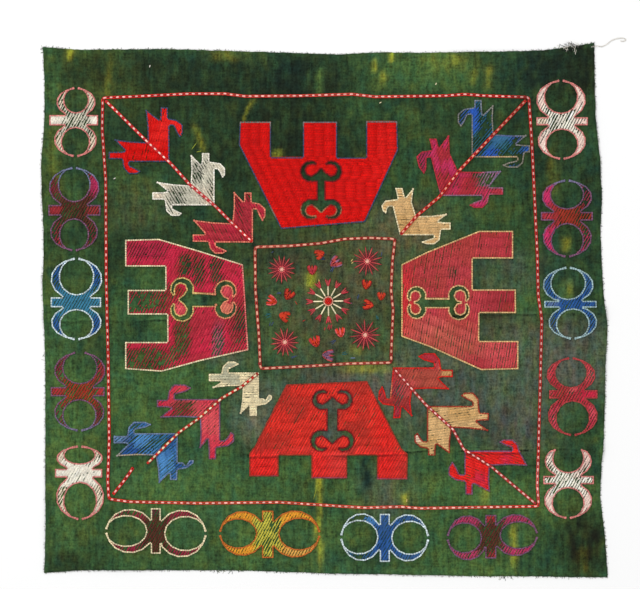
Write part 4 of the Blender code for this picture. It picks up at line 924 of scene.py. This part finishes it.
def streaks(nodes, links, place, scale, detail, low, high):
    """Noise stretched by a scale of its own each way, as a share between two levels."""
    mapping = nodes.new("ShaderNodeMapping")
    mapping.inputs["Scale"].default_value = scale
    links.new(place, mapping.inputs["Vector"])
    grain = nodes.new("ShaderNodeTexNoise")
    grain.inputs["Scale"].default_value = 1.0
    grain.inputs["Detail"].default_value = detail
    links.new(mapping.outputs["Vector"], grain.inputs["Vector"])
    levels = nodes.new("ShaderNodeMapRange")
    levels.inputs["From Min"].default_value = low
    levels.inputs["From Max"].default_value = high
    links.new(grain.outputs["Fac"], levels.inputs["Value"])
    return levels.outputs["Result"]


def weighed(nodes, links, value, weight, base):
    """A value times its weight, plus a base, which is a number or a socket."""
    sum_of = nodes.new("ShaderNodeMath")
    sum_of.operation = "MULTIPLY_ADD"
    links.new(value, sum_of.inputs[0])
    sum_of.inputs[1].default_value = weight
    if isinstance(base, float):
        sum_of.inputs[2].default_value = base
    else:
        links.new(base, sum_of.inputs[2])
    return sum_of.outputs[0]


def crease_shading_line(nodes, links, place, crease, offset):
    """A thin line along a crease of the cloth, offset from it, fading in and out along it: the mask for a
    painted shade or painted highlight line.
    """
    apart = nodes.new("ShaderNodeSeparateXYZ")
    links.new(place, apart.inputs["Vector"])
    wobble = streaks(nodes, links, place, (60, 0, 0), 2.0, 0.3, 0.7)
    away = weighed(nodes, links, apart.outputs["X"], -crease.slope, -(crease.y + offset) * MM)
    away = weighed(nodes, links, wobble, 0.0016, away)
    away = weighed(nodes, links, apart.outputs["Y"], 1.0, away)
    size = nodes.new("ShaderNodeMath")
    size.operation = "ABSOLUTE"
    links.new(away, size.inputs[0])
    near = nodes.new("ShaderNodeMapRange")
    near.inputs["From Min"].default_value = 0.0018
    near.inputs["From Max"].default_value = 0.0003
    links.new(size.outputs[0], near.inputs["Value"])
    aside = nodes.new("ShaderNodeMath")
    aside.operation = "ABSOLUTE"
    links.new(apart.outputs["X"], aside.inputs[0])
    beyond = nodes.new("ShaderNodeMapRange")
    beyond.inputs["From Min"].default_value = (crease.clear - 20) * MM
    beyond.inputs["From Max"].default_value = crease.clear * MM
    links.new(aside.outputs[0], beyond.inputs["Value"])
    begun = nodes.new("ShaderNodeMapRange")
    begun.inputs["From Min"].default_value = (crease.begins - 20) * MM
    begun.inputs["From Max"].default_value = crease.begins * MM
    links.new(apart.outputs["X"], begun.inputs["Value"])
    shown = near.outputs["Result"]
    for fading in (streaks(nodes, links, place, (26, 8, 20), 2.0, 0.36, 0.56),
                   beyond.outputs["Result"], begun.outputs["Result"]):
        faded = nodes.new("ShaderNodeMath")
        faded.operation = "MULTIPLY"
        links.new(shown, faded.inputs[0])
        links.new(fading, faded.inputs[1])
        shown = faded.outputs[0]
    return shown


def cloth_material():
    """Hand-dyed cloth: the dyed colours, mottled and streaked down the warp, a weave, and a painted highlight
    line and a painted shade line along each crease.
    """
    material, nodes, links, shader = shader_of("dyed_cloth", 0.9)
    shader.inputs["Sheen Weight"].default_value = 0.03
    shader.inputs["Specular IOR Level"].default_value = 0.12
    place = nodes.new("ShaderNodeTexCoord").outputs["Object"]
    warp = streaks(nodes, links, place, (360, 40, 200), 2.0, 0.34, 0.66)
    weft = streaks(nodes, links, place, (90, 460, 200), 2.0, 0.34, 0.66)
    mottles = streaks(nodes, links, place, (230, 170, 200), 3.0, 0.34, 0.66)
    specks = streaks(nodes, links, place, (620, 500, 500), 2.0, 0.34, 0.66)
    hues = streaks(nodes, links, place, (130, 90, 110), 3.0, 0.34, 0.66)
    depth = weighed(nodes, links, warp, 0.40, 0.18)
    depth = weighed(nodes, links, mottles, 0.38, depth)
    depth = weighed(nodes, links, specks, 0.54, depth)
    depth = weighed(nodes, links, weft, 0.30, depth)
    # Painted light along each crease: a painted highlight line 1.2 mm above it and a painted shade line 0.9 mm
    # below it.
    for crease in PAINTED_CREASE_LINES:
        depth = weighed(nodes, links, crease_shading_line(nodes, links, place, crease, 1.2), 0.35, depth)
        depth = weighed(nodes, links, crease_shading_line(nodes, links, place, crease, -0.9), -0.55, depth)
    dyed = nodes.new("ShaderNodeAttribute")
    dyed.attribute_name = "dye"
    tint = nodes.new("ShaderNodeVectorMath")
    tint.operation = "MULTIPLY"
    links.new(dyed.outputs["Color"], tint.inputs[0])
    links.new(mixed(nodes, links, hues, (0.84, 1.0, 1.14), (1.16, 1.0, 0.86)), tint.inputs[1])
    shade = nodes.new("ShaderNodeVectorMath")
    shade.operation = "SCALE"
    links.new(tint.outputs["Vector"], shade.inputs[0])
    links.new(depth, shade.inputs["Scale"])
    links.new(shade.outputs["Vector"], shader.inputs["Base Color"])
    warp_wave = wave(nodes, links, place, "X", 420.0)
    weft_wave = wave(nodes, links, place, "Y", 420.0)
    woven = nodes.new("ShaderNodeMath")
    woven.operation = "MAXIMUM"
    links.new(warp_wave, woven.inputs[0])
    links.new(weft_wave, woven.inputs[1])
    raised = weighed(nodes, links, warp, 0.8, woven.outputs[0])
    bump = nodes.new("ShaderNodeBump")
    bump.inputs["Strength"].default_value = 0.5
    bump.inputs["Distance"].default_value = 0.0003
    links.new(raised, bump.inputs["Height"])
    links.new(bump.outputs["Normal"], shader.inputs["Normal"])
    return material


def wave(nodes, links, place, direction, scale):
    ridges = nodes.new("ShaderNodeTexWave")
    ridges.bands_direction = direction
    ridges.inputs["Scale"].default_value = scale
    ridges.inputs["Distortion"].default_value = 0.6
    ridges.inputs["Detail Scale"].default_value = 60.0
    links.new(place, ridges.inputs["Vector"])
    return ridges.outputs["Fac"]


def edges_of_cloth():
    """The cloth's four cut edges as tables for np.interp: left and right by Y, others by X."""
    rim = max(rims_of("ground_cloth", 0.5), key=len)[:, :2]
    corners = {}
    for name, (x, y) in (("bl", (-1, -1)), ("br", (1, -1)), ("tr", (1, 1)), ("tl", (-1, 1))):
        corners[name] = int(np.argmax(rim @ np.array([x, y])))

    def side(start, end, axis):
        first, last = corners[start], corners[end]
        run = np.arange(first, last + 1 if last > first else last + 1 + len(rim)) % len(rim)
        points = rim[run]
        points = points[np.argsort(points[:, axis])]
        return points[:, axis], points[:, 1 - axis]

    return side("tl", "bl", 1), side("br", "tr", 1), side("bl", "br", 0), side("tr", "tl", 0)


def dyed_colours(x, y):
    """The dyed colour at each place: cloudy and streaky greens, with the marks of the table."""
    dyes = bpy.context.scene.panel_cloth
    cloud, blot = noise(x / 40 + 9, y / 55, 21), noise(x / 13, y / 19 + 4, 22)
    dab, streak = noise(x / 6.2, y / 9, 23), noise(x / 5.4, y / 42, 24)
    warmth = 0.5 * noise(x / 19 + 3, y / 27, 25) + 0.5 * noise(x / 7.5, y / 10 + 6, 26)
    depth = 0.30 * cloud + 0.28 * blot + 0.24 * dab + 0.18 * streak
    layers = [
        ("deep", np.clip((0.52 - depth) * 2.4, 0, 0.60)),
        ("leaf", np.clip((depth - 0.54) * 2.0, 0, 0.40)),
        ("olive", np.clip((warmth - 0.58) * 1.6, 0, 0.30)),
        ("teal", np.clip((0.42 - warmth) * 1.6, 0, 0.30)),
    ]
    wander = 6.0 * (noise(x / 9, y / 24, 5) - 0.5)
    rough = 0.45 + 1.1 * noise(x / 4.2, y / 11, 6)
    for mark in DYE_MARKS:
        over = (x - mark.x - mark.slope * (y - mark.y) + wander) / mark.half_x
        up = (y - mark.y) / mark.half_y
        share = np.exp(-np.clip(over * over, 0, 30) - np.clip(up * up, 0, 5) ** 2)
        layers.append((mark.dye, np.clip(share * mark.strength * rough, 0, 1)))
    colours = np.tile(dyes.ground[:], (len(x), 1))
    for name, share in layers:
        dyed = np.array(getattr(dyes, name)[:])
        colours = colours * (1 - share[:, None]) + dyed * share[:, None]
    return colours


class DressGroundCloth(bpy.types.Operator):
    """Lays the ground cloth: a fine sheet on the solid's creases, dyed and woven"""

    bl_idname = "panel.dress_ground_cloth"
    bl_label = "Ground cloth"

    def execute(self, context):
        dyes = context.scene.panel_cloth
        grain = dyes.grain / MM
        low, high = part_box("ground_cloth")
        columns = round((high.x - low.x) / MM / grain)
        rows = round((high.y - low.y) / MM / grain)
        deselect_all()
        bpy.ops.mesh.primitive_grid_add(x_subdivisions=columns, y_subdivisions=rows, size=1)
        cloth = context.object
        cloth.name = "ground_cloth_woven"
        cloth.data.name = "ground_cloth_woven"
        places = np.array([vertex.co[:2] for vertex in cloth.data.vertices]) + 0.5
        left, right, bottom, top = edges_of_cloth()
        x = low.x / MM + places[:, 0] * (high.x - low.x) / MM
        for _ in range(4):
            y0, y1 = np.interp(x, *bottom), np.interp(x, *top)
            y = y0 + places[:, 1] * (y1 - y0)
            x0, x1 = np.interp(y, *left), np.interp(y, *right)
            x = x0 + places[:, 0] * (x1 - x0)
        tree = surface_of("ground_cloth", 0.5)
        z = heights(tree, np.stack([x, y], 1))
        margin = np.minimum(np.minimum(places[:, 0], 1 - places[:, 0]),
                            np.minimum(places[:, 1], 1 - places[:, 1]))
        cut = margin < 0.0005
        x = x + cut * 0.9 * (noise(y / 2.1, x / 2.1, 11) - 0.5)
        y = y + cut * 0.9 * (noise(x / 2.1, y / 2.1, 12) - 0.5)
        z = z + 0.22 * noise(x / 23, y / 17, 3) + 0.06 * noise(x / 5, y / 5, 4)
        cloth.data.vertices.foreach_set("co", (np.stack([x, y, z], 1) * MM).ravel())
        layer = cloth.data.color_attributes.new(name="dye", type="FLOAT_COLOR", domain="POINT")
        colours = np.c_[dyed_colours(x, y), np.ones(len(x))]
        layer.data.foreach_set("color", colours.ravel())
        solidify = cloth.modifiers.new("thickness", "SOLIDIFY")
        solidify.thickness = dyes.thickness
        solidify.offset = -1.0
        bpy.ops.object.modifier_apply(modifier="thickness")
        cloth.data.shade_smooth()
        cloth.data.materials.append(cloth_material())
        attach(cloth, "root")
        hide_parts("ground_cloth")
        return {"FINISHED"}


class StitchRingHorns(bpy.types.Operator):
    """Embroiders the pairs of open rings down the sides and along the bottom"""

    bl_idname = "panel.stitch_ring_horns"
    bl_label = "Ring horns"

    def execute(self, context):
        stitches = all_stitches()
        for style in STYLES:
            if style.node.startswith("ring"):
                dress_field(style, stitches, silk_material())
        return {"FINISHED"}


class StitchBlocks(bpy.types.Operator):
    """Embroiders the four notched blocks round the horn figures left open in them"""

    bl_idname = "panel.stitch_blocks"
    bl_label = "Notched blocks"

    def execute(self, context):
        stitches = all_stitches()
        for style in STYLES:
            if style.node.startswith("block"):
                dress_field(style, stitches, silk_material())
        return {"FINISHED"}


class StitchLeaves(bpy.types.Operator):
    """Embroiders the leaf pairs on the stems"""

    bl_idname = "panel.stitch_leaves"
    bl_label = "Leaf pairs"

    def execute(self, context):
        stitches = all_stitches()
        for style in STYLES:
            if style.node.startswith("leaf"):
                dress_field(style, stitches, silk_material())
        return {"FINISHED"}


def along_rail(rail, closed, pitch):
    """Even places and directions along a line of points."""
    points = np.vstack([rail, rail[:1]]) if closed else rail
    spans = np.linalg.norm(np.diff(points, axis=0), axis=1)
    marks = np.concatenate([[0], np.cumsum(spans)])
    count = max(2, round(marks[-1] / pitch))
    stops = (np.arange(count) + 0.5) * marks[-1] / count
    places = np.stack([np.interp(stops, marks, points[:, axis]) for axis in range(3)], 1)
    ahead = np.stack([np.interp(stops + 0.3, marks, points[:, axis]) for axis in range(3)], 1)
    behind = np.stack([np.interp(stops - 0.3, marks, points[:, axis]) for axis in range(3)], 1)
    return places, ahead - behind, marks[-1] / count


def rails_of(node):
    """The two upper edges of a cord's solid, and whether it is closed."""
    rims = sorted(rims_of(node, 0.9), key=len, reverse=True)
    if len(rims) > 1:
        return rims[0], rims[1], True
    rim = rims[0]
    ways = np.roll(rim, -1, axis=0) - rim
    ways = ways[:, :2] / np.linalg.norm(ways[:, :2], axis=1, keepdims=True)
    before = np.sum(ways * np.roll(ways, 1, axis=0), 1)
    ends = [index for index in range(len(rim))
            if before[index] < 0.4 and before[(index + 1) % len(rim)] < 0.4]
    if len(ends) != 2:
        raise RuntimeError(f"{node} should have two ends, and {len(ends)} were found")
    first = np.roll(rim, -(ends[0] + 1), axis=0)
    count = ends[1] - ends[0]
    return first[:count], first[count:][::-1], False


def middle_rail(rail, other, closed):
    """The line halfway between a cord's two upper edges."""
    places, _, _ = along_rail(rail, closed, 1.5)
    loop = np.vstack([other, other[:1]]) if closed else other
    starts, ways = loop[:-1], np.diff(loop, axis=0)
    made = []
    for place in places:
        share = np.clip(np.sum((place - starts) * ways, 1) / np.sum(ways * ways, 1), 0, 1)
        nearest = starts + ways * share[:, None]
        made.append(nearest[np.argmin(np.sum((nearest - place) ** 2, 1))])
    return (places + np.array(made)) / 2


class StitchCords(bpy.types.Operator):
    """Works the frame, the inner square and the stems in two-colour cord stitch"""

    bl_idname = "panel.stitch_cords"
    bl_label = "Cords"

    def execute(self, context):
        stitches = all_stitches()
        core = core_material()
        for cord in CORDS:
            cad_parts[cord.node].data.materials.clear()
            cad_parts[cord.node].data.materials.append(core)
            left, right, closed = rails_of(cord.node)
            work = Stitchery()
            chance = np.random.default_rng(sum(map(ord, cord.node)))
            for rail in (left, right):
                places, ways, step = along_rail(rail, closed, 2.3)
                places = places - (0, 0, 0.12)
                scale = np.tile([step * 1.5, 1.2, 0.9], (len(places), 1))
                colours = self.shades(cord, cord.side, places, 0.18, chance)
                work.lay(stitches["grain"], places, ways, scale, colours)
            middle = middle_rail(left, right, closed)
            places, ways, step = along_rail(middle, closed, cord.pitch)
            places = places + (0, 0, 0.12)
            spans = cord.length * chance.normal(1.0, 0.10, len(places))
            pale = np.stack([spans, np.full(len(spans), cord.width + 0.5),
                             np.full(len(spans), 1.15)], 1)
            colours = self.shades(cord, cord.dash, places, 0.10, chance)
            work.lay(stitches["grain"], places, ways, pale, colours)
            unit = ways / np.linalg.norm(ways, axis=1, keepdims=True)
            dark = np.tile([cord.pitch - cord.length + 1.6, 1.6, 1.0], (len(places), 1))
            colours = self.shades(cord, cord.between, places, 0.12, chance)
            work.lay(stitches["grain"], places + unit * step / 2, ways, dark, colours)
            piece = work.piece(cord.node + "_stitches", silk_material())
        return {"FINISHED"}

    def shades(self, cord, name, places, spread, chance):
        """A silk's colour at each place along a cord, with its patches and small changes."""
        colours = np.tile(silk(name), (len(places), 1))
        for row, strength in patches_of(CORD_PATCHES, cord.node, places[:, 0], places[:, 1]):
            mixture = (row.share * strength)[:, None]
            colours = colours * (1 - mixture) + silk(row.silk) * mixture
        return np.clip(colours * chance.normal(1.0, spread, (len(places), 1)), 0, 1)


def middle_of(node):
    """The middle of a solid seen from above, in millimetres."""
    low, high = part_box(node)
    return np.array([low.x + high.x, low.y + high.y]) / 2 / MM


def ray_tips(rim, middle):
    """The places furthest out on a star's rays, in order round its middle."""
    away = rim[:, :2] - middle
    reach = np.linalg.norm(away, axis=1)
    tips = rim[(reach > np.roll(reach, 1)) & (reach > np.roll(reach, -1))]
    return tips[np.argsort(np.arctan2(tips[:, 1] - middle[1], tips[:, 0] - middle[0]))]


def rays(work, stitches, tree, middle, turns, reaches, width, colour, chance):
    """Straight stitches out from a middle, from one reach to another, at each turn."""
    for turn in turns:
        way = np.array([math.cos(turn), math.sin(turn)])
        start, end = middle + way * reaches[0], middle + way * reaches[1]
        z0, z1 = heights(tree, [start, end]) - 0.25
        thread(work, stitches, (*start, z0), (*end, z1), width, colour, chance)


def thread(work, stitches, start, end, width, colour, chance):
    """One plump stitch from a start to an end."""
    start, end = np.array(start), np.array(end)
    way = end - start
    size = [[float(np.linalg.norm(way)) + 0.6, width, 0.95]]
    shade = np.clip(silk(colour) * chance.normal(1.0, 0.12), 0, 1)
    work.lay(stitches["grain"], [(start + end) / 2], [way], size, [shade])


def circle_of(work, stitch, middle, height, radius, size, colour, count):
    """Stitches set round a middle, each along the circle."""
    angles = np.arange(count) / count * 2 * math.pi
    places = np.stack([middle[0] + radius * np.cos(angles), middle[1] + radius * np.sin(angles),
                       np.full(count, height)], 1)
    ways = np.stack([-np.sin(angles), np.cos(angles), np.zeros(count)], 1)
    chance = np.random.default_rng(count)
    colours = np.clip(colour * chance.normal(1, 0.1, (count, 1)), 0, 1)
    work.lay(stitch, places, ways, np.tile(size, (count, 1)), colours)


class StitchFlowers(bpy.types.Operator):
    """Works the stars, the buds and the loose stitches of the middle square"""

    bl_idname = "panel.stitch_flowers"
    bl_label = "Stars and buds"

    def execute(self, context):
        stitches = all_stitches()
        for node in SMALL_STARS:
            self.small_star(node, stitches)
        self.great_star(stitches)
        for bud in BUDS:
            self.bud(bud, stitches)
        self.loose(stitches)
        return {"FINISHED"}

    def finish(self, work, node):
        piece = work.piece(node + "_silk", silk_material())
        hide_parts(node)

    def small_star(self, node, stitches):
        """Long rose rays over shorter violet ones, with a pale knot in the middle."""
        tree = surface_of(node)
        rim = max(rims_of(node), key=len)
        middle = rim[:, :2].mean(0)
        tips = ray_tips(rim, middle)
        chance = np.random.default_rng(sum(map(ord, node)))
        work = Stitchery()
        turns = np.arctan2(tips[:, 1] - middle[1], tips[:, 0] - middle[0])
        reach = np.linalg.norm(tips[:, :2] - middle, axis=1).mean()
        half = (turns[1] - turns[0]) / 2
        rays(work, stitches, tree, middle, turns + half, (4.0, reach * 0.76), 1.0, "bramble", chance)
        rays(work, stitches, tree, middle, turns, (2.0, reach), 1.5, "rosewood", chance)
        rays(work, stitches, tree, middle, turns + 0.05, (3.0, reach * 0.5), 0.8, "rose", chance)
        height = float(heights(tree, [middle])[0])
        circle_of(work, stitches["grain"], middle, height - 0.1, 3.2, (2.4, 1.3, 0.9),
                  silk("coral"), 9)
        circle_of(work, stitches["grain"], middle, height, 1.6, (2.2, 1.5, 0.9), silk("peach"), 6)
        work.lay(stitches["grain"], [[*middle, height + 0.1]], [[1, 0, 0]], [[2.2, 2.0, 0.9]],
                 [silk("shell")])
        self.finish(work, node)

    def great_star(self, stitches):
        """Thin cream rays from a red heart, each ending in a fork of dim red stitches."""
        node = "star_middle"
        tree = surface_of(node)
        middle = middle_of(node)
        tips = ray_tips(max(rims_of(node), key=len), middle)
        chance = np.random.default_rng(2)
        work = Stitchery()
        turns = np.arctan2(tips[:, 1] - middle[1], tips[:, 0] - middle[0])
        gaps = np.diff(np.concatenate([turns, turns[:1] + 2 * math.pi]))
        forks = turns[gaps < 2 * math.pi / len(tips)] + gaps.min() / 2
        reach = np.linalg.norm(tips[:, :2] - middle, axis=1).mean()
        for turn in forks:
            for lane in (-0.115, 0.115):
                self.fork(work, stitches, tree, middle, turn, lane, reach, chance)
        rays(work, stitches, tree, middle, forks, (15.0, reach * 0.96), 1.3, "rosewood", chance)
        rays(work, stitches, tree, middle, forks, (4.4, 18.0), 1.55, "cream", chance)
        height = float(heights(tree, [middle])[0])
        for radius, count, colour in ((4.7, 15, "peach"), (2.9, 10, "cord"), (1.3, 5, "cord")):
            circle_of(work, stitches["grain"], middle, height - 0.05, radius, (2.3, 1.5, 1.0),
                      silk(colour), count)
        work.lay(stitches["grain"], [[*middle, height]], [[1, 0, 0]], [[2.2, 1.8, 1.0]],
                 [silk("garnet")])
        self.finish(work, node)

    def fork(self, work, stitches, tree, middle, turn, lane, reach, chance):
        start = middle + 15.5 * np.array([math.cos(turn), math.sin(turn)])
        end = middle + reach * np.array([math.cos(turn + lane), math.sin(turn + lane)])
        z0, z1 = heights(tree, [start, end]) - 0.3
        colour = "rosewood" if lane > 0 else "rose"
        thread(work, stitches, (*start, z0), (*end, z1), 1.7, colour, chance)

    def bud(self, bud, stitches):
        """Petals of side by side stitches that spread from the bud's foot, over its heart."""
        tree = surface_of(bud.node)
        turn = math.radians(bud.turn)
        ahead = np.array([math.cos(turn), math.sin(turn)])
        across = np.array([-ahead[1], ahead[0]])
        middle = np.array([bud.x, bud.y])
        chance = np.random.default_rng(sum(map(ord, bud.node)))
        work = Stitchery()
        foot = middle - ahead * bud.size * 0.44
        for side in (-1, 1):
            for inset, colour in ((0.44, bud.petals), (0.36, bud.heart), (0.27, bud.heart)):
                tip = middle + bud.size * (ahead * (0.60 - inset * 0.50) + across * side * inset)
                bend = middle + bud.size * (ahead * -0.14 + across * side * inset * 0.72)
                z = heights(tree, [foot, bend, tip]) - 0.25
                thread(work, stitches, (*foot, z[0]), (*bend, z[1]), 1.9, colour, chance)
                thread(work, stitches, (*bend, z[1]), (*tip, z[2]), 1.9, colour, chance)
        for lane, reach, colour in ((-0.13, 0.22, bud.heart), (0.13, 0.22, bud.heart),
                                    (0.0, 0.48, bud.petals), (0.0, 0.18, bud.heart)):
            tip = middle + bud.size * (ahead * reach + across * lane)
            z = heights(tree, [foot, tip]) - 0.12
            thread(work, stitches, (*foot, z[0]), (*tip, z[1]), 2.2, colour, chance)
        self.finish(work, bud.node)

    def loose(self, stitches):
        work = Stitchery()
        tree = surface_of("ground_cloth", 0.5)
        chance = np.random.default_rng(8)
        for stitch in LOOSE_STITCHES:
            turn = math.radians(stitch.turn)
            height = heights(tree, [(stitch.x, stitch.y)])[0] + 0.35
            for lane in np.arange(stitch.threads) - (stitch.threads - 1) / 2:
                lean = turn + chance.normal(0, 0.18)
                x = stitch.x - lane * 1.5 * math.sin(turn) + chance.normal(0, 0.6)
                y = stitch.y + lane * 1.5 * math.cos(turn) + chance.normal(0, 0.6)
                size = [[stitch.length * chance.uniform(0.7, 1.1), 0.95, 0.6]]
                work.lay(stitches["grain"], [[x, y, height]],
                         [[math.cos(lean), math.sin(lean), 0]], size, [silk(stitch.silk)])
        piece = work.piece("loose_stitches", silk_material())


# Where the cut edge is more frayed: middle and half length along it in mm, and longest end.
Fray = namedtuple("Fray", "x y reach length")
FRAYS = (
    Fray(-111, -286, 13, 5.5), Fray(195, -287, 9, 6.0), Fray(-304, -52, 7, 5.0),
    Fray(-298, 284, 12, 5.0), Fray(262, 283, 12, 5.0), Fray(250, -288, 22, 3.5),
)
# The tuft of broken threads under the top edge's right end, and the loose thread at the
# corner, as points in mm along it.
TUFT = {"x": 266.0, "y": 281.8, "half_x": 8.5, "half_y": 3.8, "threads": 46}
LOOSE_THREAD = ((287.0, 282.2), (293.0, 283.4), (299.0, 282.6), (304.0, 285.2), (309.0, 289.4),
                (315.0, 291.4), (321.0, 292.0), (324.6, 290.6), (323.0, 288.4), (318.6, 288.6))


class FrayEdges(bpy.types.Operator):
    """Lets short ends of thread hang from the cut edges of the cloth"""

    bl_idname = "panel.fray_edges"
    bl_label = "Frayed edges"

    def execute(self, context):
        stitches = all_stitches()
        chance = np.random.default_rng(4)
        dyes = context.scene.panel_cloth
        shades = [np.array(dyes.ground[:]), np.array(dyes.leaf[:]), np.array(dyes.ash[:]),
                  np.array(dyes.deep[:]), silk("ash")]
        rim = max(rims_of("ground_cloth", 0.5), key=len)
        places, ways, _ = along_rail(rim, True, 0.8)
        work = Stitchery()
        outwards = np.stack([ways[:, 1], -ways[:, 0], np.zeros(len(ways))], 1)
        outwards /= np.linalg.norm(outwards, axis=1, keepdims=True)
        for place, out in zip(places, outwards):
            longest = dyes.fray_length / MM
            for fray in FRAYS:
                if math.hypot(place[0] - fray.x, place[1] - fray.y) < fray.reach:
                    longest = fray.length
            span = 0.9 + longest * chance.random() ** 2
            start = place - out * 0.8 - (0, 0, 0.5)
            heading = math.atan2(out[1], out[0]) + chance.normal(0, 0.6)
            shade = shades[chance.integers(len(shades))] * chance.uniform(0.5, 1.3)
            self.loose_end(work, stitches, start, heading, span, 0.3, shade, chance)
        for _ in range(TUFT["threads"]):
            x = TUFT["x"] + TUFT["half_x"] * chance.normal(0, 0.5)
            y = TUFT["y"] + TUFT["half_y"] * chance.normal(0, 0.5)
            shade = silk("soot" if chance.random() < 0.74 else "white")
            start = np.array([x, y, chance.uniform(1.6, 2.6)])
            heading = chance.normal(3.4, 0.7)
            self.loose_end(work, stitches, start, heading, 5.0, 0.42, shade, chance)
        for lane in (0.0, 0.7):
            points = np.array([(x, y + lane, 0.8) for x, y in LOOSE_THREAD])
            points[:2, 2] = (2.0, 1.6)
            self.long_thread(work, stitches, points)
        piece = work.piece("frayed_ends", silk_material())
        return {"FINISHED"}

    def loose_end(self, work, stitches, here, heading, span, width, shade, chance):
        """A thread that wanders off its heading in four short lengths, down to the floor."""
        for _ in range(4):
            heading += chance.normal(0, 0.4)
            step = span / 4 * np.array([math.cos(heading), math.sin(heading), 0.0])
            following = here + step
            following[2] = max(0.3, here[2] - 0.15)
            way = following - here
            size = [[float(np.linalg.norm(way)) * 1.2, width, width]]
            work.lay(stitches["fibre"], [(here + following) / 2], [way], size, [shade])
            here = following

    def long_thread(self, work, stitches, points):
        """A loose thread on a smooth curve through its points."""
        share = np.linspace(0, len(points) - 1, 60)
        smooth = np.stack([np.interp(share, np.arange(len(points)), points[:, axis])
                           for axis in range(3)], 1)
        smooth[1:-1] = (smooth[:-2] + 2 * smooth[1:-1] + smooth[2:]) / 4
        ways = np.diff(smooth, axis=0)
        spans = np.linalg.norm(ways, axis=1) * 1.25
        size = np.stack([spans, np.full(len(spans), 0.34), np.full(len(spans), 0.34)], 1)
        shade = np.tile(silk("white") * 0.8, (len(spans), 1))
        work.lay(stitches["strand"], (smooth[1:] + smooth[:-1]) / 2, ways, size, shade)


class SetStage(bpy.types.Operator):
    """Sets the pale floor, the soft light and the camera straight above the cloth"""

    bl_idname = "panel.set_stage"
    bl_label = "Stage"

    def execute(self, context):
        scene = context.scene
        deselect_all()
        bpy.ops.mesh.primitive_plane_add(size=12.0, location=(0, 0, 0))
        floor = context.object
        floor.name = "floor"
        material, _, _, shader = shader_of("pale_floor", 0.9)
        shader.inputs["Base Color"].default_value = (0.9, 0.9, 0.9, 1.0)
        floor.data.materials.append(material)
        self.lamp("key", (-1.4, 1.3, 2.2), 1.6, 44.0)
        self.lamp("fill", (1.6, -0.6, 2.4), 2.6, 20.0)
        world = bpy.data.worlds.new("studio")
        world.use_nodes = True
        world.node_tree.nodes["Background"].inputs["Color"].default_value = (1, 1, 1, 1)
        world.node_tree.nodes["Background"].inputs["Strength"].default_value = 0.62
        scene.world = world
        scene.view_settings.view_transform = "Standard"
        self.camera(scene)
        return {"FINISHED"}

    def lamp(self, name, place, size, power):
        deselect_all()
        bpy.ops.object.light_add(type="AREA", location=place)
        lamp = bpy.context.object
        lamp.name = name
        lamp.data.size = size
        lamp.data.energy = power
        lamp.rotation_euler = (-Vector(place)).to_track_quat("-Z", "Y").to_euler()

    def camera(self, scene):
        deselect_all()
        width = 640 * 1.075 * MM
        lens, sensor = 100.0, 36.0
        distance = width * lens / sensor
        bpy.ops.object.camera_add(location=(-4.3 * MM, 16.66 * MM, distance), rotation=(0, 0, 0))
        camera = bpy.context.object
        camera.name = "camera"
        camera.data.lens = lens
        camera.data.sensor_width = sensor
        camera.data.clip_end = 50.0
        scene.camera = camera


class EmbroideryPanel(bpy.types.Panel):
    """Lists the steps that dress the cloth, and the silks"""

    bl_idname = "VIEW3D_PT_embroidery"
    bl_label = "Embroidered panel"
    bl_space_type = "VIEW_3D"
    bl_region_type = "UI"
    bl_category = "Embroidery"

    def draw(self, context):
        for step in STEPS:
            self.layout.operator(step.bl_idname)
        for group in ("panel_cloth", "panel_stitches", "panel_silks"):
            settings = getattr(context.scene, group)
            for name in settings.bl_rna.properties.keys():
                if name not in ("rna_type", "name"):
                    self.layout.prop(settings, name)


STEPS = (SetStage, DressGroundCloth, StitchRingHorns, StitchBlocks, StitchLeaves, StitchCords,
         StitchFlowers, FrayEdges)
SETTINGS = {"panel_silks": SilkDyes, "panel_cloth": ClothDyes, "panel_stitches": StitchSizes}


def register():
    for kind in (*SETTINGS.values(), *STEPS, EmbroideryPanel):
        bpy.utils.register_class(kind)
    for name, kind in SETTINGS.items():
        setattr(bpy.types.Scene, name, bpy.props.PointerProperty(type=kind))


def unregister():
    for name in SETTINGS:
        delattr(bpy.types.Scene, name)
    for kind in (EmbroideryPanel, *reversed(STEPS), *SETTINGS.values()):
        bpy.utils.unregister_class(kind)


def main():
    register()
    bpy.ops.panel.set_stage()
    bpy.ops.panel.dress_ground_cloth()
    bpy.ops.panel.stitch_ring_horns()
    bpy.ops.panel.stitch_blocks()
    bpy.ops.panel.stitch_leaves()
    bpy.ops.panel.stitch_cords()
    bpy.ops.panel.stitch_flowers()
    bpy.ops.panel.fray_edges()


if __name__ == "__main__":
    main()
